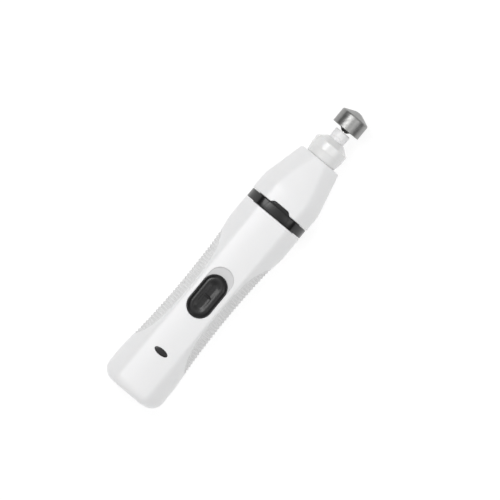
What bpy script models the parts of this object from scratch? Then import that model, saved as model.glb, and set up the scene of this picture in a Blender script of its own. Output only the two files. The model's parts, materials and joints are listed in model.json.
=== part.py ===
"""Cordless pet nail grinder with a pull-off grinding head.

The tool lies on its flat back: +Z is up through the switch, +Y runs from the base to the
grinding drum, and +X is the tool's right-hand side seen from the front with the drum up.
The origin is under the middle of the tool, on the surface that it rests on.

Most sizes are written as (x, station, depth): the station is the distance from the flat base
along the tool, and the depth is measured from the tool's axis towards the front face.
"""

import math

import bmesh
import bpy
from mathutils import Matrix, Vector

MM = 0.001
GAP = 0.3 * MM

# Overall
LENGTH = 178.0 * MM
AXIS_HEIGHT = 15.5 * MM
BODY_HALF_WIDTH = 16.8 * MM
BODY_HALF_DEPTH = 15.5 * MM
PANEL_HALF_WIDTH = 9.5 * MM
FRONT_RADIUS = 42.0 * MM
EDGE_ROUNDING = 1.5 * MM
BASE_SIDE_RADIUS = 7.2 * MM
BASE_FACE_RADIUS = 4.5 * MM

# Handle shells
WALL = 1.9 * MM
SIDE_WALL = 2.4 * MM
BASE_WALL = 2.2 * MM
HANDLE_TOP = 111.6 * MM
# How far the sides draw in at each station, from the base end of the waist to its head end
WAIST = (
    (14.0 * MM, 0.0),
    (26.0 * MM, 0.85 * MM),
    (38.0 * MM, 1.6 * MM),
    (57.0 * MM, 2.15 * MM),
    (78.0 * MM, 1.8 * MM),
    (91.0 * MM, 1.05 * MM),
    (100.0 * MM, 0.0),
)
SCOOP_FLATNESS = 34.0 * MM

# Side grips
GRIP_START = 23.6 * MM
GRIP_END = 92.2 * MM
GRIP_HALF_DEPTH = 12.75 * MM
GRIP_THICKNESS = 1.0 * MM

# Trim ring between the handle and the head
RING_START = 111.9 * MM
RING_END = 116.8 * MM
RING_HALF_WIDTH = 16.6 * MM
RING_BORE = 12.8 * MM
TAB_LENGTH = 1.7 * MM
TAB_ROOT_HALF_WIDTH = 6.6 * MM
TAB_TIP_HALF_WIDTH = 4.1 * MM

# Head
HEAD_START = 117.1 * MM
HEAD_TAPER_START = 126.0 * MM
HEAD_END = 148.2 * MM
HEAD_SCALE = 1.012
HEAD_END_SCALE = 0.684
HEAD_PANEL_END = 3.2 * MM
HEAD_WALL = 1.7 * MM
COLLAR_RADIUS = 9.2 * MM
SLEEVE_RADIUS = 4.3 * MM
DRUM_RADIUS = 7.7 * MM

# Front panel details
SWITCH_START = 49.3 * MM
SWITCH_END = 73.5 * MM
SWITCH_HALF_WIDTH = 6.5 * MM
SWITCH_TRAVEL = 4.4 * MM
RECESS_DEPTH = 1.0 * MM
LEVER_STATION = 61.4 * MM
LENS_STATION = 26.1 * MM
LENS_HALF_WIDTH = 4.0 * MM
LENS_HALF_HEIGHT = 1.7 * MM

# Inside the handle
BOARD_DEPTH = 7.5 * MM
BOARD_THICKNESS = 1.2 * MM
BATTERY_RADIUS = 7.0 * MM
BATTERY_DEPTH = -3.0 * MM
MOTOR_START = 76.0 * MM
MOTOR_END = 106.0 * MM
MOTOR_RADIUS = 10.2 * MM
MOTOR_SCREW_OFFSET = 6.6 * MM
MOTOR_SHAFT_RADIUS = 1.15 * MM
SPINDLE_RADIUS = 1.5 * MM
SPINDLE_TIP_RADIUS = 0.8 * MM
BEARING_RADIUS = 5.0 * MM
CASE_SCREW_STATIONS = (10.4 * MM, 108.8 * MM)
BOARD_SCREW_PLACES = ((-6.5 * MM, 20.5 * MM), (6.5 * MM, 44.0 * MM))

WHITE = (0.86, 0.86, 0.86)
GREY_RUBBER = (0.62, 0.62, 0.63)
BLACK = (0.012, 0.012, 0.013)
STEEL = (0.58, 0.57, 0.55)
NICKEL = (0.66, 0.63, 0.58)
COPPER = (0.72, 0.38, 0.22)
BRASS = (0.78, 0.60, 0.28)
BOARD_GREEN = (0.03, 0.20, 0.08)
BATTERY_BLUE = (0.05, 0.16, 0.42)
LEAD_RED = (0.60, 0.03, 0.03)


# ---------------------------------------------------------------- helpers


def clear_scene():
    for obj in list(bpy.data.objects):
        bpy.data.objects.remove(obj, do_unlink=True)


def new_collection(name):
    collection = bpy.data.collections.new(name)
    bpy.context.scene.collection.children.link(collection)
    return collection


def place(x, station, depth):
    """A point of the tool in world coordinates."""
    return Vector((x, station - LENGTH / 2, depth + AXIS_HEIGHT))


def add_object(name, mesh, collection):
    obj = bpy.data.objects.new(name, mesh)
    collection.objects.link(obj)
    return obj


def mesh_from(name, form, collection=None):
    """Turns a bmesh into an object among the parts, with its faces pointing out."""
    bmesh.ops.recalc_face_normals(form, faces=form.faces)
    mesh = bpy.data.meshes.new(name)
    form.to_mesh(mesh)
    form.free()
    return add_object(name, mesh, collection or PARTS)


def loft(name, rings, collection=None):
    """A closed body through rings of equally many points, with flat ends."""
    form = bmesh.new()
    rows = [[form.verts.new(point) for point in ring] for ring in rings]
    for low, high in zip(rows, rows[1:]):
        for i in range(len(low)):
            j = (i + 1) % len(low)
            form.faces.new((low[i], low[j], high[j], high[i]))
    form.faces.new(rows[0])
    form.faces.new(rows[-1])
    return mesh_from(name, form, collection)


def upright(name, outline, low, high, collection=None):
    """A plate with this (x, station) outline between two depths."""
    rings = [[place(x, s, depth) for x, s in outline] for depth in (low, high)]
    return loft(name, rings, collection)


def box(name, x_range, station_range, depth_range, collection=None):
    """A box between two places, given as ranges."""
    form = bmesh.new()
    bmesh.ops.create_cube(form, size=1.0)
    low = place(x_range[0], station_range[0], depth_range[0])
    high = place(x_range[1], station_range[1], depth_range[1])
    size = high - low
    middle = Matrix.Translation((low + high) / 2)
    bmesh.ops.transform(form, matrix=middle @ Matrix.Diagonal((*size, 1.0)), verts=form.verts)
    return mesh_from(name, form, collection)


def rod(name, radius, start, end, collection=None, sides=24):
    """A straight round or many-sided bar between two points."""
    form = bmesh.new()
    bmesh.ops.create_cone(
        form, cap_ends=True, segments=sides, radius1=radius, radius2=radius, depth=(end - start).length
    )
    turn_to = Vector((0, 0, 1)).rotation_difference(end - start).to_matrix().to_4x4()
    bmesh.ops.transform(form, matrix=Matrix.Translation((start + end) / 2) @ turn_to, verts=form.verts)
    return mesh_from(name, form, collection)


def turned(name, profile, steps=24, collection=None):
    """A body turned about the tool's axis from (radius, station) points.

    The profile starts at the head end and runs down its outer side towards the base.
    A profile that doesn't start on the axis is closed up its inner side.
    """
    form = bmesh.new()
    points = [form.verts.new((radius, 0, station)) for radius, station in profile]
    for first, second in zip(points, points[1:]):
        form.edges.new((first, second))
    if profile[0][0] > 0:
        form.edges.new((points[-1], points[0]))
    mesh = bpy.data.meshes.new(name)
    form.to_mesh(mesh)
    form.free()
    obj = add_object(name, mesh, collection or PARTS)
    obj.location = place(0, 0, 0)
    obj.rotation_euler = (-math.pi / 2, 0, 0)
    screw = obj.modifiers.new("Turned", "SCREW")
    screw.steps = steps
    screw.render_steps = steps
    screw.use_merge_vertices = True
    screw.merge_threshold = 0.000001
    screw.use_smooth_shade = True
    return obj


def boolean(obj, other, operation):
    modifier = obj.modifiers.new(f"{operation.title()} {other.name}", "BOOLEAN")
    modifier.operation = operation
    modifier.object = other
    other.hide_render = True
    other.display_type = "WIRE"


def cut(obj, *cutters):
    for cutter in cutters:
        boolean(obj, cutter, "DIFFERENCE")


def add(obj, *pieces):
    for piece in pieces:
        boolean(obj, piece, "UNION")


def bevel(obj, width, segments=2):
    modifier = obj.modifiers.new("Rounded edges", "BEVEL")
    modifier.width = width
    modifier.segments = segments
    modifier.limit_method = "ANGLE"


def finish(obj, colour, roughness=0.4, metallic=0.0):
    """Gives an object its own material and smooth shading."""
    material = bpy.data.materials.new(f"{obj.name}_finish")
    material.use_nodes = True
    shader = material.node_tree.nodes["Principled BSDF"]
    shader.inputs["Base Color"].default_value = (*colour, 1.0)
    shader.inputs["Roughness"].default_value = roughness
    shader.inputs["Metallic"].default_value = metallic
    material.diffuse_color = (*colour, 1.0)
    obj.data.materials.append(material)
    if obj.type == "MESH":
        obj.data.shade_smooth()
        obj.data.set_sharp_from_angle(angle=math.radians(35))
    return obj


def through(points, at):
    """Height of a smooth curve through (place, height) points, level at both ends."""
    if at <= points[0][0]:
        return points[0][1]
    if at >= points[-1][0]:
        return points[-1][1]
    slopes = [0.0]
    for before, after in zip(points, points[2:]):
        slopes.append((after[1] - before[1]) / (after[0] - before[0]))
    slopes.append(0.0)
    i = max(k for k in range(len(points) - 1) if points[k][0] <= at)
    (x0, y0), (x1, y1) = points[i : i + 2]
    span = x1 - x0
    t = (at - x0) / span
    rise = (2 * t**3 - 3 * t**2 + 1) * y0 + (3 * t**2 - 2 * t**3) * y1
    lean = (t**3 - 2 * t**2 + t) * slopes[i] + (t**3 - t**2) * slopes[i + 1]
    return rise + span * lean


# ---------------------------------------------------------------- sections


def quarter(half_width, flat, half_depth, corner, waist_in=0.0, side_steps=6, crowned=False):
    """A quarter of the body's section, from the middle of a face to the middle of the side.

    The face runs out to `flat`, level or with a gentle crown. The side bows out to
    `half_width`, and a waist of `waist_in` scoops it a little flatter than its own bow.
    """

    def face(x):
        return half_depth - x**2 / (2 * FRONT_RADIUS) if crowned else half_depth

    brink = face(flat)

    def side(depth):
        bow = half_width - (half_width - flat) * (depth / brink) ** 2
        scoop = half_width - waist_in - depth**2 / SCOOP_FLATNESS
        return min(bow, scoop) if waist_in > 0 else bow

    turn = flat - corner
    points = [Vector((turn * i / 3, face(turn * i / 3))) for i in range(3)] if crowned else []
    start = Vector((turn, face(turn)))
    edge = Vector((flat, brink))
    end = Vector((side(brink - 0.9 * corner), brink - 0.9 * corner))
    for i in range(4):
        t = i / 4
        points.append((1 - t) ** 2 * start + 2 * t * (1 - t) * edge + t**2 * end)
    for i in range(side_steps + 1):
        depth = end.y * (1 - i / side_steps)
        points.append(Vector((side(depth), depth)))
    return points


def section(station, *shape, crowned=False, **options):
    """A whole ring of the body at a station, with a level back and a front that may be crowned."""
    front = quarter(*shape, crowned=crowned, **options)
    back = quarter(*shape, **options)
    outline = list(front)
    outline += [Vector((p.x, -p.y)) for p in reversed(back[:-1])]
    outline += [Vector((-p.x, -p.y)) for p in back]
    outline += [Vector((-p.x, p.y)) for p in reversed(front[:-1]) if p.x > 0]
    return [place(p.x, station, p.y) for p in outline]


def waist(station):
    return through(WAIST, station)


def base_round(station, radius):
    """How far a quarter-round base edge is drawn in at a station."""
    left = max(0.0, radius - station)
    return radius - math.sqrt(radius**2 - left**2)


def handle_section(station):
    narrow = base_round(station, BASE_SIDE_RADIUS)
    shallow = base_round(station, BASE_FACE_RADIUS)
    return section(
        station,
        BODY_HALF_WIDTH - narrow,
        PANEL_HALF_WIDTH - 0.25 * narrow,
        BODY_HALF_DEPTH - shallow,
        EDGE_ROUNDING,
        waist_in=waist(station),
        crowned=True,
    )


def cavity_section(station, shrink=0.0):
    return section(
        station,
        BODY_HALF_WIDTH - SIDE_WALL - shrink,
        PANEL_HALF_WIDTH - 1.0 * MM,
        BODY_HALF_DEPTH - WALL - shrink,
        1.2 * MM,
        waist_in=waist(station),
        side_steps=4,
    )


def head_scale(station):
    along = (station - HEAD_TAPER_START) / (HEAD_END - HEAD_TAPER_START)
    return HEAD_SCALE + (HEAD_END_SCALE - HEAD_SCALE) * max(0.0, along)


def head_section(station, inset=0.0, **options):
    """The body's section, a touch wider than the handle, then smaller and rounder towards the nose."""
    k = head_scale(station)
    along = max(0.0, (station - HEAD_TAPER_START) / (HEAD_END - HEAD_TAPER_START))
    wide = PANEL_HALF_WIDTH * HEAD_SCALE
    flat = wide - (wide - HEAD_PANEL_END) * along**1.2
    return section(
        station,
        BODY_HALF_WIDTH * k - inset,
        flat - inset / 2,
        BODY_HALF_DEPTH * k / HEAD_SCALE - inset,
        EDGE_ROUNDING * k,
        **options,
    )


def stadium(half_width, start, end, steps=8):
    """A slot outline with round ends, as (x, station) points."""
    outline = []
    for middle, sign in ((end - half_width, 1), (start + half_width, -1)):
        for i in range(steps + 1):
            angle = math.pi * i / steps
            x = half_width * math.cos(angle) * sign
            outline.append((x, middle + half_width * math.sin(angle) * sign))
    return outline


def ellipse(half_width, half_height, station, steps=20):
    turns = [2 * math.pi * i / steps for i in range(steps)]
    return [(half_width * math.cos(a), station + half_height * math.sin(a)) for a in turns]


def arch(half_width, flat_end, round_end, steps=8):
    """A slot outline with one round end, as (x, station) points."""
    way = 1 if round_end > flat_end else -1
    middle = round_end - half_width * way
    outline = [(half_width, flat_end)]
    for i in range(steps + 1):
        angle = math.pi * i / steps
        outline.append((half_width * math.cos(angle), middle + way * half_width * math.sin(angle)))
    return [*outline, (-half_width, flat_end)]


def rectangle(half_width, start, end):
    return [(-half_width, start), (half_width, start), (half_width, end), (-half_width, end)]


# ---------------------------------------------------------------- handle shells


def grip_reach(station):
    """Half the height of the almond-shaped grip at a station."""
    middle = (GRIP_START + GRIP_END) / 2
    along = (station - middle) / (GRIP_END - GRIP_START) * 2
    return GRIP_HALF_DEPTH * math.sqrt(max(0.0, 1 - along**4))


def grip_form(name, sign, under, over, margin, collection=None):
    """The grip's body on one side, between two distances under the side's surface."""
    rings = []
    steps = 14
    for i in range(steps + 1):
        swing = 0.985 * math.sin(math.pi * (i / steps - 0.5))
        middle = (GRIP_START + GRIP_END) / 2
        station = middle + swing * (GRIP_END - GRIP_START) / 2
        reach = grip_reach(station) + margin
        crest = BODY_HALF_WIDTH - waist(station)
        depths = [reach * (k / 4 - 1) for k in range(9)]
        inner = [place(sign * (crest - d**2 / SCOOP_FLATNESS - under), station, d) for d in depths]
        outer = [place(sign * (crest - d**2 / SCOOP_FLATNESS - over), station, d) for d in reversed(depths)]
        rings.append(inner + outer)
    rings[0] = [point - Vector((0, margin, 0)) for point in rings[0]]
    rings[-1] = [point + Vector((0, margin, 0)) for point in rings[-1]]
    return loft(name, rings, collection)


def shell_blank(name):
    stations = [0.0, 0.5, 1.4, 2.8, 4.6, 7.2, 14, 20, 26, 32, 38, 45, 52, 60, 68, 76, 83, 88, 92, 95, 98, 101]
    rings = [handle_section(s * MM) for s in stations]
    rings.append(handle_section(HANDLE_TOP))
    return loft(name, rings)


def cavity():
    stations = [6, 14, 26, 38, 57, 78, 91, 100]
    rings = [cavity_section(BASE_WALL, shrink=3.0 * MM), cavity_section(3.6 * MM, shrink=1.2 * MM)]
    rings += [cavity_section(s * MM) for s in stations]
    rings.append(cavity_section(HANDLE_TOP + 2 * MM))
    return loft("cut_cavity", rings, CUTTERS)


def charge_port():
    return box("cut_charge_port", (-4.3 * MM, 4.3 * MM), (-MM, 3 * MM), (-1.9 * MM, 1.9 * MM), CUTTERS)


def front_shell(shared_cuts):
    shell = shell_blank("front_shell")
    wide = 30 * MM
    rear_half = box("cut_rear_half", (-wide, wide), (-wide, LENGTH), (-wide, GAP / 2), CUTTERS)
    cut(shell, *shared_cuts, rear_half)

    boss = rod("add_case_boss", 2.5 * MM, *post(0, CASE_SCREW_STATIONS[0], -6.0 * MM, 14.5 * MM), CUTTERS, 16)
    posts = [
        rod(f"add_board_post_{i}", 2.0 * MM, *post(x, s, BOARD_DEPTH + 0.9 * MM, 14.5 * MM), CUTTERS, 16)
        for i, (x, s) in enumerate(BOARD_SCREW_PLACES, 1)
    ]
    add(shell, boss, *posts)

    pilot = rod("cut_case_pilot", 1.3 * MM, *post(0, CASE_SCREW_STATIONS[0], -8 * MM, 0.5 * MM), CUTTERS, 12)
    board_pilots = [
        rod(f"cut_board_pilot_{i}", 1.1 * MM, *post(x, s, 7 * MM, 12.6 * MM), CUTTERS, 12)
        for i, (x, s) in enumerate(BOARD_SCREW_PLACES, 1)
    ]
    floor = BODY_HALF_DEPTH - RECESS_DEPTH
    recess = upright(
        "cut_switch_recess",
        stadium(SWITCH_HALF_WIDTH + GAP, SWITCH_START - GAP, SWITCH_END + SWITCH_TRAVEL + GAP, steps=10),
        floor,
        BODY_HALF_DEPTH + 2 * MM,
        CUTTERS,
    )
    slot = upright(
        "cut_lever_slot",
        stadium(1.8 * MM, LEVER_STATION - 3.6 * MM, LEVER_STATION + SWITCH_TRAVEL + 3.6 * MM, steps=6),
        12 * MM,
        BODY_HALF_DEPTH,
        CUTTERS,
    )
    window = upright(
        "cut_lens_window",
        ellipse(LENS_HALF_WIDTH + GAP, LENS_HALF_HEIGHT + GAP, LENS_STATION),
        12 * MM,
        BODY_HALF_DEPTH + MM,
        CUTTERS,
    )
    cut(shell, pilot, *board_pilots, recess, slot, window)
    return finish(shell, WHITE, 0.38)


def rear_shell(shared_cuts):
    shell = shell_blank("rear_shell")
    wide = 30 * MM
    front_half = box("cut_front_half", (-wide, wide), (-wide, LENGTH), (-GAP / 2, wide), CUTTERS)
    cut(shell, *shared_cuts, front_half)
    boss = rod(
        "add_rear_boss", 2.5 * MM, *post(0, CASE_SCREW_STATIONS[0], -14.5 * MM, -6.3 * MM), CUTTERS, 16
    )
    add(shell, boss)
    for i, station in enumerate(CASE_SCREW_STATIONS, 1):
        hole = rod(f"cut_case_hole_{i}", 1.3 * MM, *post(0, station, -17 * MM, -5 * MM), CUTTERS, 12)
        seat = rod(f"cut_case_seat_{i}", 2.3 * MM, *post(0, station, -17 * MM, -14.4 * MM), CUTTERS, 16)
        cut(shell, hole, seat)
    return finish(shell, WHITE, 0.38)


def post(x, station, low, high):
    """The two ends of an upright bar between two depths."""
    return place(x, station, low), place(x, station, high)


def case_shells():
    pockets = [
        grip_form(f"cut_grip_pocket_{side}", sign, GRIP_THICKNESS + GAP, -6 * MM, GAP, CUTTERS)
        for side, sign in (("left", -1), ("right", 1))
    ]
    shared_cuts = [cavity(), *pockets, charge_port()]
    return [front_shell(shared_cuts), rear_shell(shared_cuts)]


def grips():
    return [
        finish(grip_form(f"{side}_grip", sign, GRIP_THICKNESS, 0.0, 0.0), GREY_RUBBER, 0.7)
        for side, sign in (("left", -1), ("right", 1))
    ]


def screw(name, head, tip, head_radius, shank_radius, head_height):
    """A pan-head screw with a cross-slot, from the top of its head to its tip."""
    along = (tip - head).normalized()
    under_head = head + along * head_height
    body = rod(name, head_radius, head, under_head, sides=16)
    shank = rod(f"add_{name}_shank", shank_radius, head + along * head_height / 2, tip, CUTTERS, 12)
    add(body, shank)
    slot = rod(f"cut_{name}_drive", head_radius * 0.5, head - along * MM, head + along * 0.5 * MM, CUTTERS, 6)
    cut(body, slot)
    return finish(body, NICKEL, 0.35, 1.0)


def case_screws():
    return [
        screw(
            f"case_screw_{i}",
            place(0, station, -15.2 * MM),
            place(0, station, tip_depth),
            2.0 * MM,
            1.0 * MM,
            0.8 * MM,
        )
        for i, (station, tip_depth) in enumerate(zip(CASE_SCREW_STATIONS, (-0.8 * MM, -8.4 * MM)), 1)
    ]


# ---------------------------------------------------------------- switch and indicator


def slide_button():
    """The thumb slide: a raised slot-shaped rim round two finger dishes with a bar between."""
    low = BODY_HALF_DEPTH - RECESS_DEPTH + GAP
    levels = ((0.0, low), (0.0, 15.9 * MM), (0.35 * MM, 16.4 * MM), (1.0 * MM, 16.6 * MM))
    rings = []
    for inset, depth in levels:
        outline = stadium(SWITCH_HALF_WIDTH - inset, SWITCH_START + inset, SWITCH_END - inset, steps=10)
        rings.append([place(x, s, depth) for x, s in outline])
    button = loft("slide_button", rings)
    bar, rim = 0.9 * MM, 3.6 * MM
    spans = ((LEVER_STATION - bar, SWITCH_START + rim), (LEVER_STATION + bar, SWITCH_END - rim))
    dishes = [
        upright(f"cut_dish_{i}", arch(SWITCH_HALF_WIDTH - rim, *span), 16.0 * MM, 18 * MM, CUTTERS)
        for i, span in enumerate(spans, 1)
    ]
    cut(button, *dishes)
    return finish(button, BLACK, 0.3)


def switch_lever():
    lever = box(
        "switch_lever",
        (-1.5 * MM, 1.5 * MM),
        (LEVER_STATION - 2.5 * MM, LEVER_STATION + 2.5 * MM),
        (9.6 * MM, 14.5 * MM),
    )
    return finish(lever, BLACK, 0.5)


def slide_switch_housing():
    housing = box(
        "slide_switch_housing",
        (-4.2 * MM, 4.2 * MM),
        (LEVER_STATION - 5.0 * MM, LEVER_STATION + SWITCH_TRAVEL + 5.0 * MM),
        (BOARD_DEPTH + BOARD_THICKNESS / 2 + GAP, 12.4 * MM),
    )
    slot = box(
        "cut_housing_slot",
        (-1.8 * MM, 1.8 * MM),
        (LEVER_STATION - 2.8 * MM, LEVER_STATION + SWITCH_TRAVEL + 2.8 * MM),
        (9.3 * MM, 14 * MM),
        CUTTERS,
    )
    cut(housing, slot)
    return finish(housing, NICKEL, 0.4, 1.0)


def indicator():
    lens = upright(
        "indicator_lens",
        ellipse(LENS_HALF_WIDTH, LENS_HALF_HEIGHT, LENS_STATION),
        BODY_HALF_DEPTH - WALL,
        BODY_HALF_DEPTH + MM,
    )
    front = [handle_section(LENS_STATION - 5 * MM), handle_section(LENS_STATION + 5 * MM)]
    boolean(lens, loft("keep_lens_face", front, CUTTERS), "INTERSECT")
    base = BOARD_DEPTH + BOARD_THICKNESS / 2 + GAP
    led = rod("indicator_led", 1.5 * MM, *post(0, LENS_STATION, base, 12.0 * MM), sides=16)
    bevel(led, 0.4 * MM)
    return [finish(lens, BLACK, 0.12), finish(led, (0.8, 0.85, 0.9), 0.15)]


# ---------------------------------------------------------------- electrics


def circuit_board():
    low, high = BOARD_DEPTH - BOARD_THICKNESS / 2, BOARD_DEPTH + BOARD_THICKNESS / 2
    board = upright("circuit_board", rectangle(9.3 * MM, 16.0 * MM, 71.2 * MM), low, high)
    for i, (x, s) in enumerate(BOARD_SCREW_PLACES, 1):
        cut(board, rod(f"cut_board_hole_{i}", 1.1 * MM, *post(x, s, 5 * MM, 10 * MM), CUTTERS, 12))
    return finish(board, BOARD_GREEN, 0.35)


def control_chip():
    base = BOARD_DEPTH + BOARD_THICKNESS / 2 + GAP
    chip = box("control_chip", (-2.6 * MM, 2.6 * MM), (35.0 * MM, 40.0 * MM), (base, base + 1.4 * MM))
    return finish(chip, BLACK, 0.5)


def board_screws():
    return [
        screw(f"board_screw_{i}", place(x, s, 5.7 * MM), place(x, s, 12.0 * MM), 1.5 * MM, 0.8 * MM, 0.9 * MM)
        for i, (x, s) in enumerate(BOARD_SCREW_PLACES, 1)
    ]


def charge_socket():
    """A small hooded socket whose mouth shows in the base, with a contact tongue inside."""
    socket = box("charge_socket", (-4.0 * MM, 4.0 * MM), (0.5 * MM, 7.3 * MM), (-1.6 * MM, 1.6 * MM))
    mouth = box("cut_socket_mouth", (-3.5 * MM, 3.5 * MM), (-MM, 6.3 * MM), (-1.15 * MM, 1.15 * MM), CUTTERS)
    tongue = box(
        "add_socket_tongue", (-2.4 * MM, 2.4 * MM), (1.5 * MM, 6.8 * MM), (-0.4 * MM, 0.4 * MM), CUTTERS
    )
    cut(socket, mouth)
    add(socket, tongue)
    return finish(socket, NICKEL, 0.3, 1.0)


def battery():
    start, end = 15.3 * MM, 65.2 * MM
    wrap = BATTERY_RADIUS
    profile = [(0, end), (2.6 * MM, end), (2.6 * MM, end - 0.7 * MM), (wrap - 0.6 * MM, end - 0.7 * MM)]
    profile += [(wrap, end - 1.3 * MM), (wrap, start + 0.6 * MM), (wrap - 0.6 * MM, start), (0, start)]
    cell = turned("battery_cell", profile, steps=24)
    cell.location = place(0, 0, BATTERY_DEPTH)
    tabs = [
        box(f"battery_tab_{i}", (-2.4 * MM, 2.4 * MM), (s, s + 0.4 * MM), (-8.0 * MM, 2.2 * MM))
        for i, s in enumerate((14.5 * MM, 65.6 * MM), 1)
    ]
    return [finish(cell, BATTERY_BLUE, 0.35), *[finish(tab, NICKEL, 0.35, 1.0) for tab in tabs]]


def lead(name, route, colour):
    """An insulated wire along a smooth curve through a few (x, station, depth) points in mm."""
    knots = [Vector(point) * MM for point in route]
    knots = [2 * knots[0] - knots[1], *knots, 2 * knots[-1] - knots[-2]]
    points = []
    for a, b, c, d in zip(knots, knots[1:], knots[2:], knots[3:]):
        for i in range(3):
            t = i / 3
            bend = (2 * a - 5 * b + 4 * c - d) * t**2 + (3 * b - a - 3 * c + d) * t**3
            points.append((2 * b + (c - a) * t + bend) / 2)
    points.append(knots[-2])
    curve = bpy.data.curves.new(name, "CURVE")
    curve.dimensions = "3D"
    curve.bevel_depth = 0.5 * MM
    curve.bevel_resolution = 2
    curve.use_fill_caps = True
    spline = curve.splines.new("POLY")
    spline.points.add(len(points) - 1)
    for target, point in zip(spline.points, points):
        target.co = (*place(*point), 1.0)
    return finish(add_object(name, curve, PARTS), colour, 0.45)


def mirrored(route):
    return [(-x, station, depth) for x, station, depth in route]


def leads():
    """Two wires each from the charge socket, the battery and the motor to the board."""
    charge = [(3.2, 7.7, 0), (3.8, 10.5, 0.8), (4.0, 13.2, 3.0), (3.6, 16.2, 5.7), (3.6, 19.5, 5.9)]
    motor = [(7.7, 70.8, -0.5), (8.2, 69.4, 3.0), (7.6, 67.8, 5.4), (7.2, 65.0, 5.9)]
    minus = [(-3.3, 13.6, -4.0), (-6.0, 13.0, -1.0), (-7.1, 13.8, 3.0), (-6.9, 15.8, 5.6), (-6.6, 17.6, 5.9)]
    plus = [(3.3, 66.6, -1.0), (4.3, 67.4, 2.0), (4.8, 66.4, 5.2), (4.8, 62.5, 5.9)]
    return [
        lead("charge_lead_red", charge, LEAD_RED),
        lead("charge_lead_black", mirrored(charge), BLACK),
        lead("battery_lead_red", plus, LEAD_RED),
        lead("battery_lead_black", minus, BLACK),
        lead("motor_lead_red", motor, LEAD_RED),
        lead("motor_lead_black", mirrored(motor), BLACK),
    ]


# ---------------------------------------------------------------- motor


def motor_can():
    inner = MOTOR_RADIUS - MM
    boss = 3.1 * MM
    profile = [(boss, MOTOR_END + 2 * MM), (boss, MOTOR_END), (MOTOR_RADIUS, MOTOR_END)]
    profile += [(MOTOR_RADIUS, MOTOR_START), (inner, MOTOR_START), (inner, MOTOR_END - 1.5 * MM)]
    profile += [(1.7 * MM, MOTOR_END - 1.5 * MM), (1.7 * MM, MOTOR_END + 2 * MM)]
    can = turned("motor_can", profile, steps=32)
    for i, x in enumerate((-MOTOR_SCREW_OFFSET, MOTOR_SCREW_OFFSET), 1):
        start, end = place(x, MOTOR_END - 4 * MM, 0), place(x, MOTOR_END + MM, 0)
        cut(can, rod(f"cut_can_hole_{i}", 1.3 * MM, start, end, CUTTERS, 12))
    return finish(can, STEEL, 0.3, 1.0)


def motor_end_cap():
    cap_end = MOTOR_START - GAP
    radius, bore = MOTOR_RADIUS - 0.2 * MM, 1.7 * MM
    start = cap_end - 3.1 * MM
    cap = turned("motor_end_cap", [(radius, cap_end), (radius, start), (bore, start), (bore, cap_end)])
    return finish(cap, BLACK, 0.55)


def arc_bar(name, inner, outer, middle_angle, half_angle, start, end):
    """A bar with an arc-shaped section about the tool's axis."""
    angles = [middle_angle + half_angle * (i / 4 - 1) for i in range(9)]
    section_points = [(outer, a) for a in angles] + [(inner, a) for a in reversed(angles)]
    rings = [
        [place(radius * math.cos(a), station, radius * math.sin(a)) for radius, a in section_points]
        for station in (start, end)
    ]
    return loft(name, rings)


def motor_magnets():
    return [
        finish(
            arc_bar(f"motor_magnet_{i}", 7.6 * MM, 8.9 * MM, angle, math.radians(62), 81 * MM, 101 * MM),
            (0.10, 0.10, 0.11),
            0.6,
        )
        for i, angle in enumerate((math.pi / 2, -math.pi / 2), 1)
    ]


def motor_contacts():
    """Brushes on the commutator and the two solder tags behind the end cap."""
    pieces = []
    for i, sign in enumerate((-1, 1), 1):
        brush_x = sorted((sign * 2.9 * MM, sign * 3.3 * MM))
        brush = box(f"motor_brush_{i}", brush_x, (76.0 * MM, 80.5 * MM), (-1.4 * MM, 1.4 * MM))
        tag_x = sorted((sign * 6.2 * MM, sign * 6.8 * MM))
        tag = box(f"motor_tag_{i}", tag_x, (69.4 * MM, 72.3 * MM), (-1.2 * MM, 1.2 * MM))
        pieces += [finish(brush, COPPER, 0.35, 1.0), finish(tag, BRASS, 0.35, 1.0)]
    return pieces


def motor_damper():
    inner, outer = MOTOR_RADIUS + GAP, 12.5 * MM
    start, end = 85.0 * MM, 91.0 * MM
    damper = turned("motor_damper", [(outer, end), (outer, start), (inner, start), (inner, end)])
    return finish(damper, BLACK, 0.8)


def motor_screws():
    return [
        screw(
            f"motor_screw_{i}",
            place(x, 112.7 * MM, 0),
            place(x, 103.2 * MM, 0),
            1.7 * MM,
            1.0 * MM,
            1.1 * MM,
        )
        for i, x in enumerate((-MOTOR_SCREW_OFFSET, MOTOR_SCREW_OFFSET), 1)
    ]


def rotor():
    shaft = rod("motor_shaft", MOTOR_SHAFT_RADIUS, place(0, 73.4 * MM, 0), place(0, 120.6 * MM, 0), sides=16)
    bore = MOTOR_SHAFT_RADIUS + GAP
    armature = turned(
        "motor_armature", [(7.0 * MM, 99 * MM), (7.0 * MM, 82.5 * MM), (bore, 82.5 * MM), (bore, 99 * MM)]
    )
    for i in range(3):
        angle = math.radians(120 * i + 30)
        reach = Vector((math.cos(angle), 0, math.sin(angle)))
        groove = rod(
            f"cut_armature_groove_{i + 1}",
            1.5 * MM,
            place(0, 80 * MM, 0) + reach * 7.2 * MM,
            place(0, 102 * MM, 0) + reach * 7.2 * MM,
            CUTTERS,
            8,
        )
        cut(armature, groove)
    commutator = turned(
        "motor_commutator", [(2.6 * MM, 81.6 * MM), (2.6 * MM, 77 * MM), (bore, 77 * MM), (bore, 81.6 * MM)]
    )
    return [
        finish(shaft, STEEL, 0.2, 1.0),
        finish(armature, COPPER, 0.4, 1.0),
        finish(commutator, COPPER, 0.3, 1.0),
        drive_coupler(),
    ]


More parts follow.
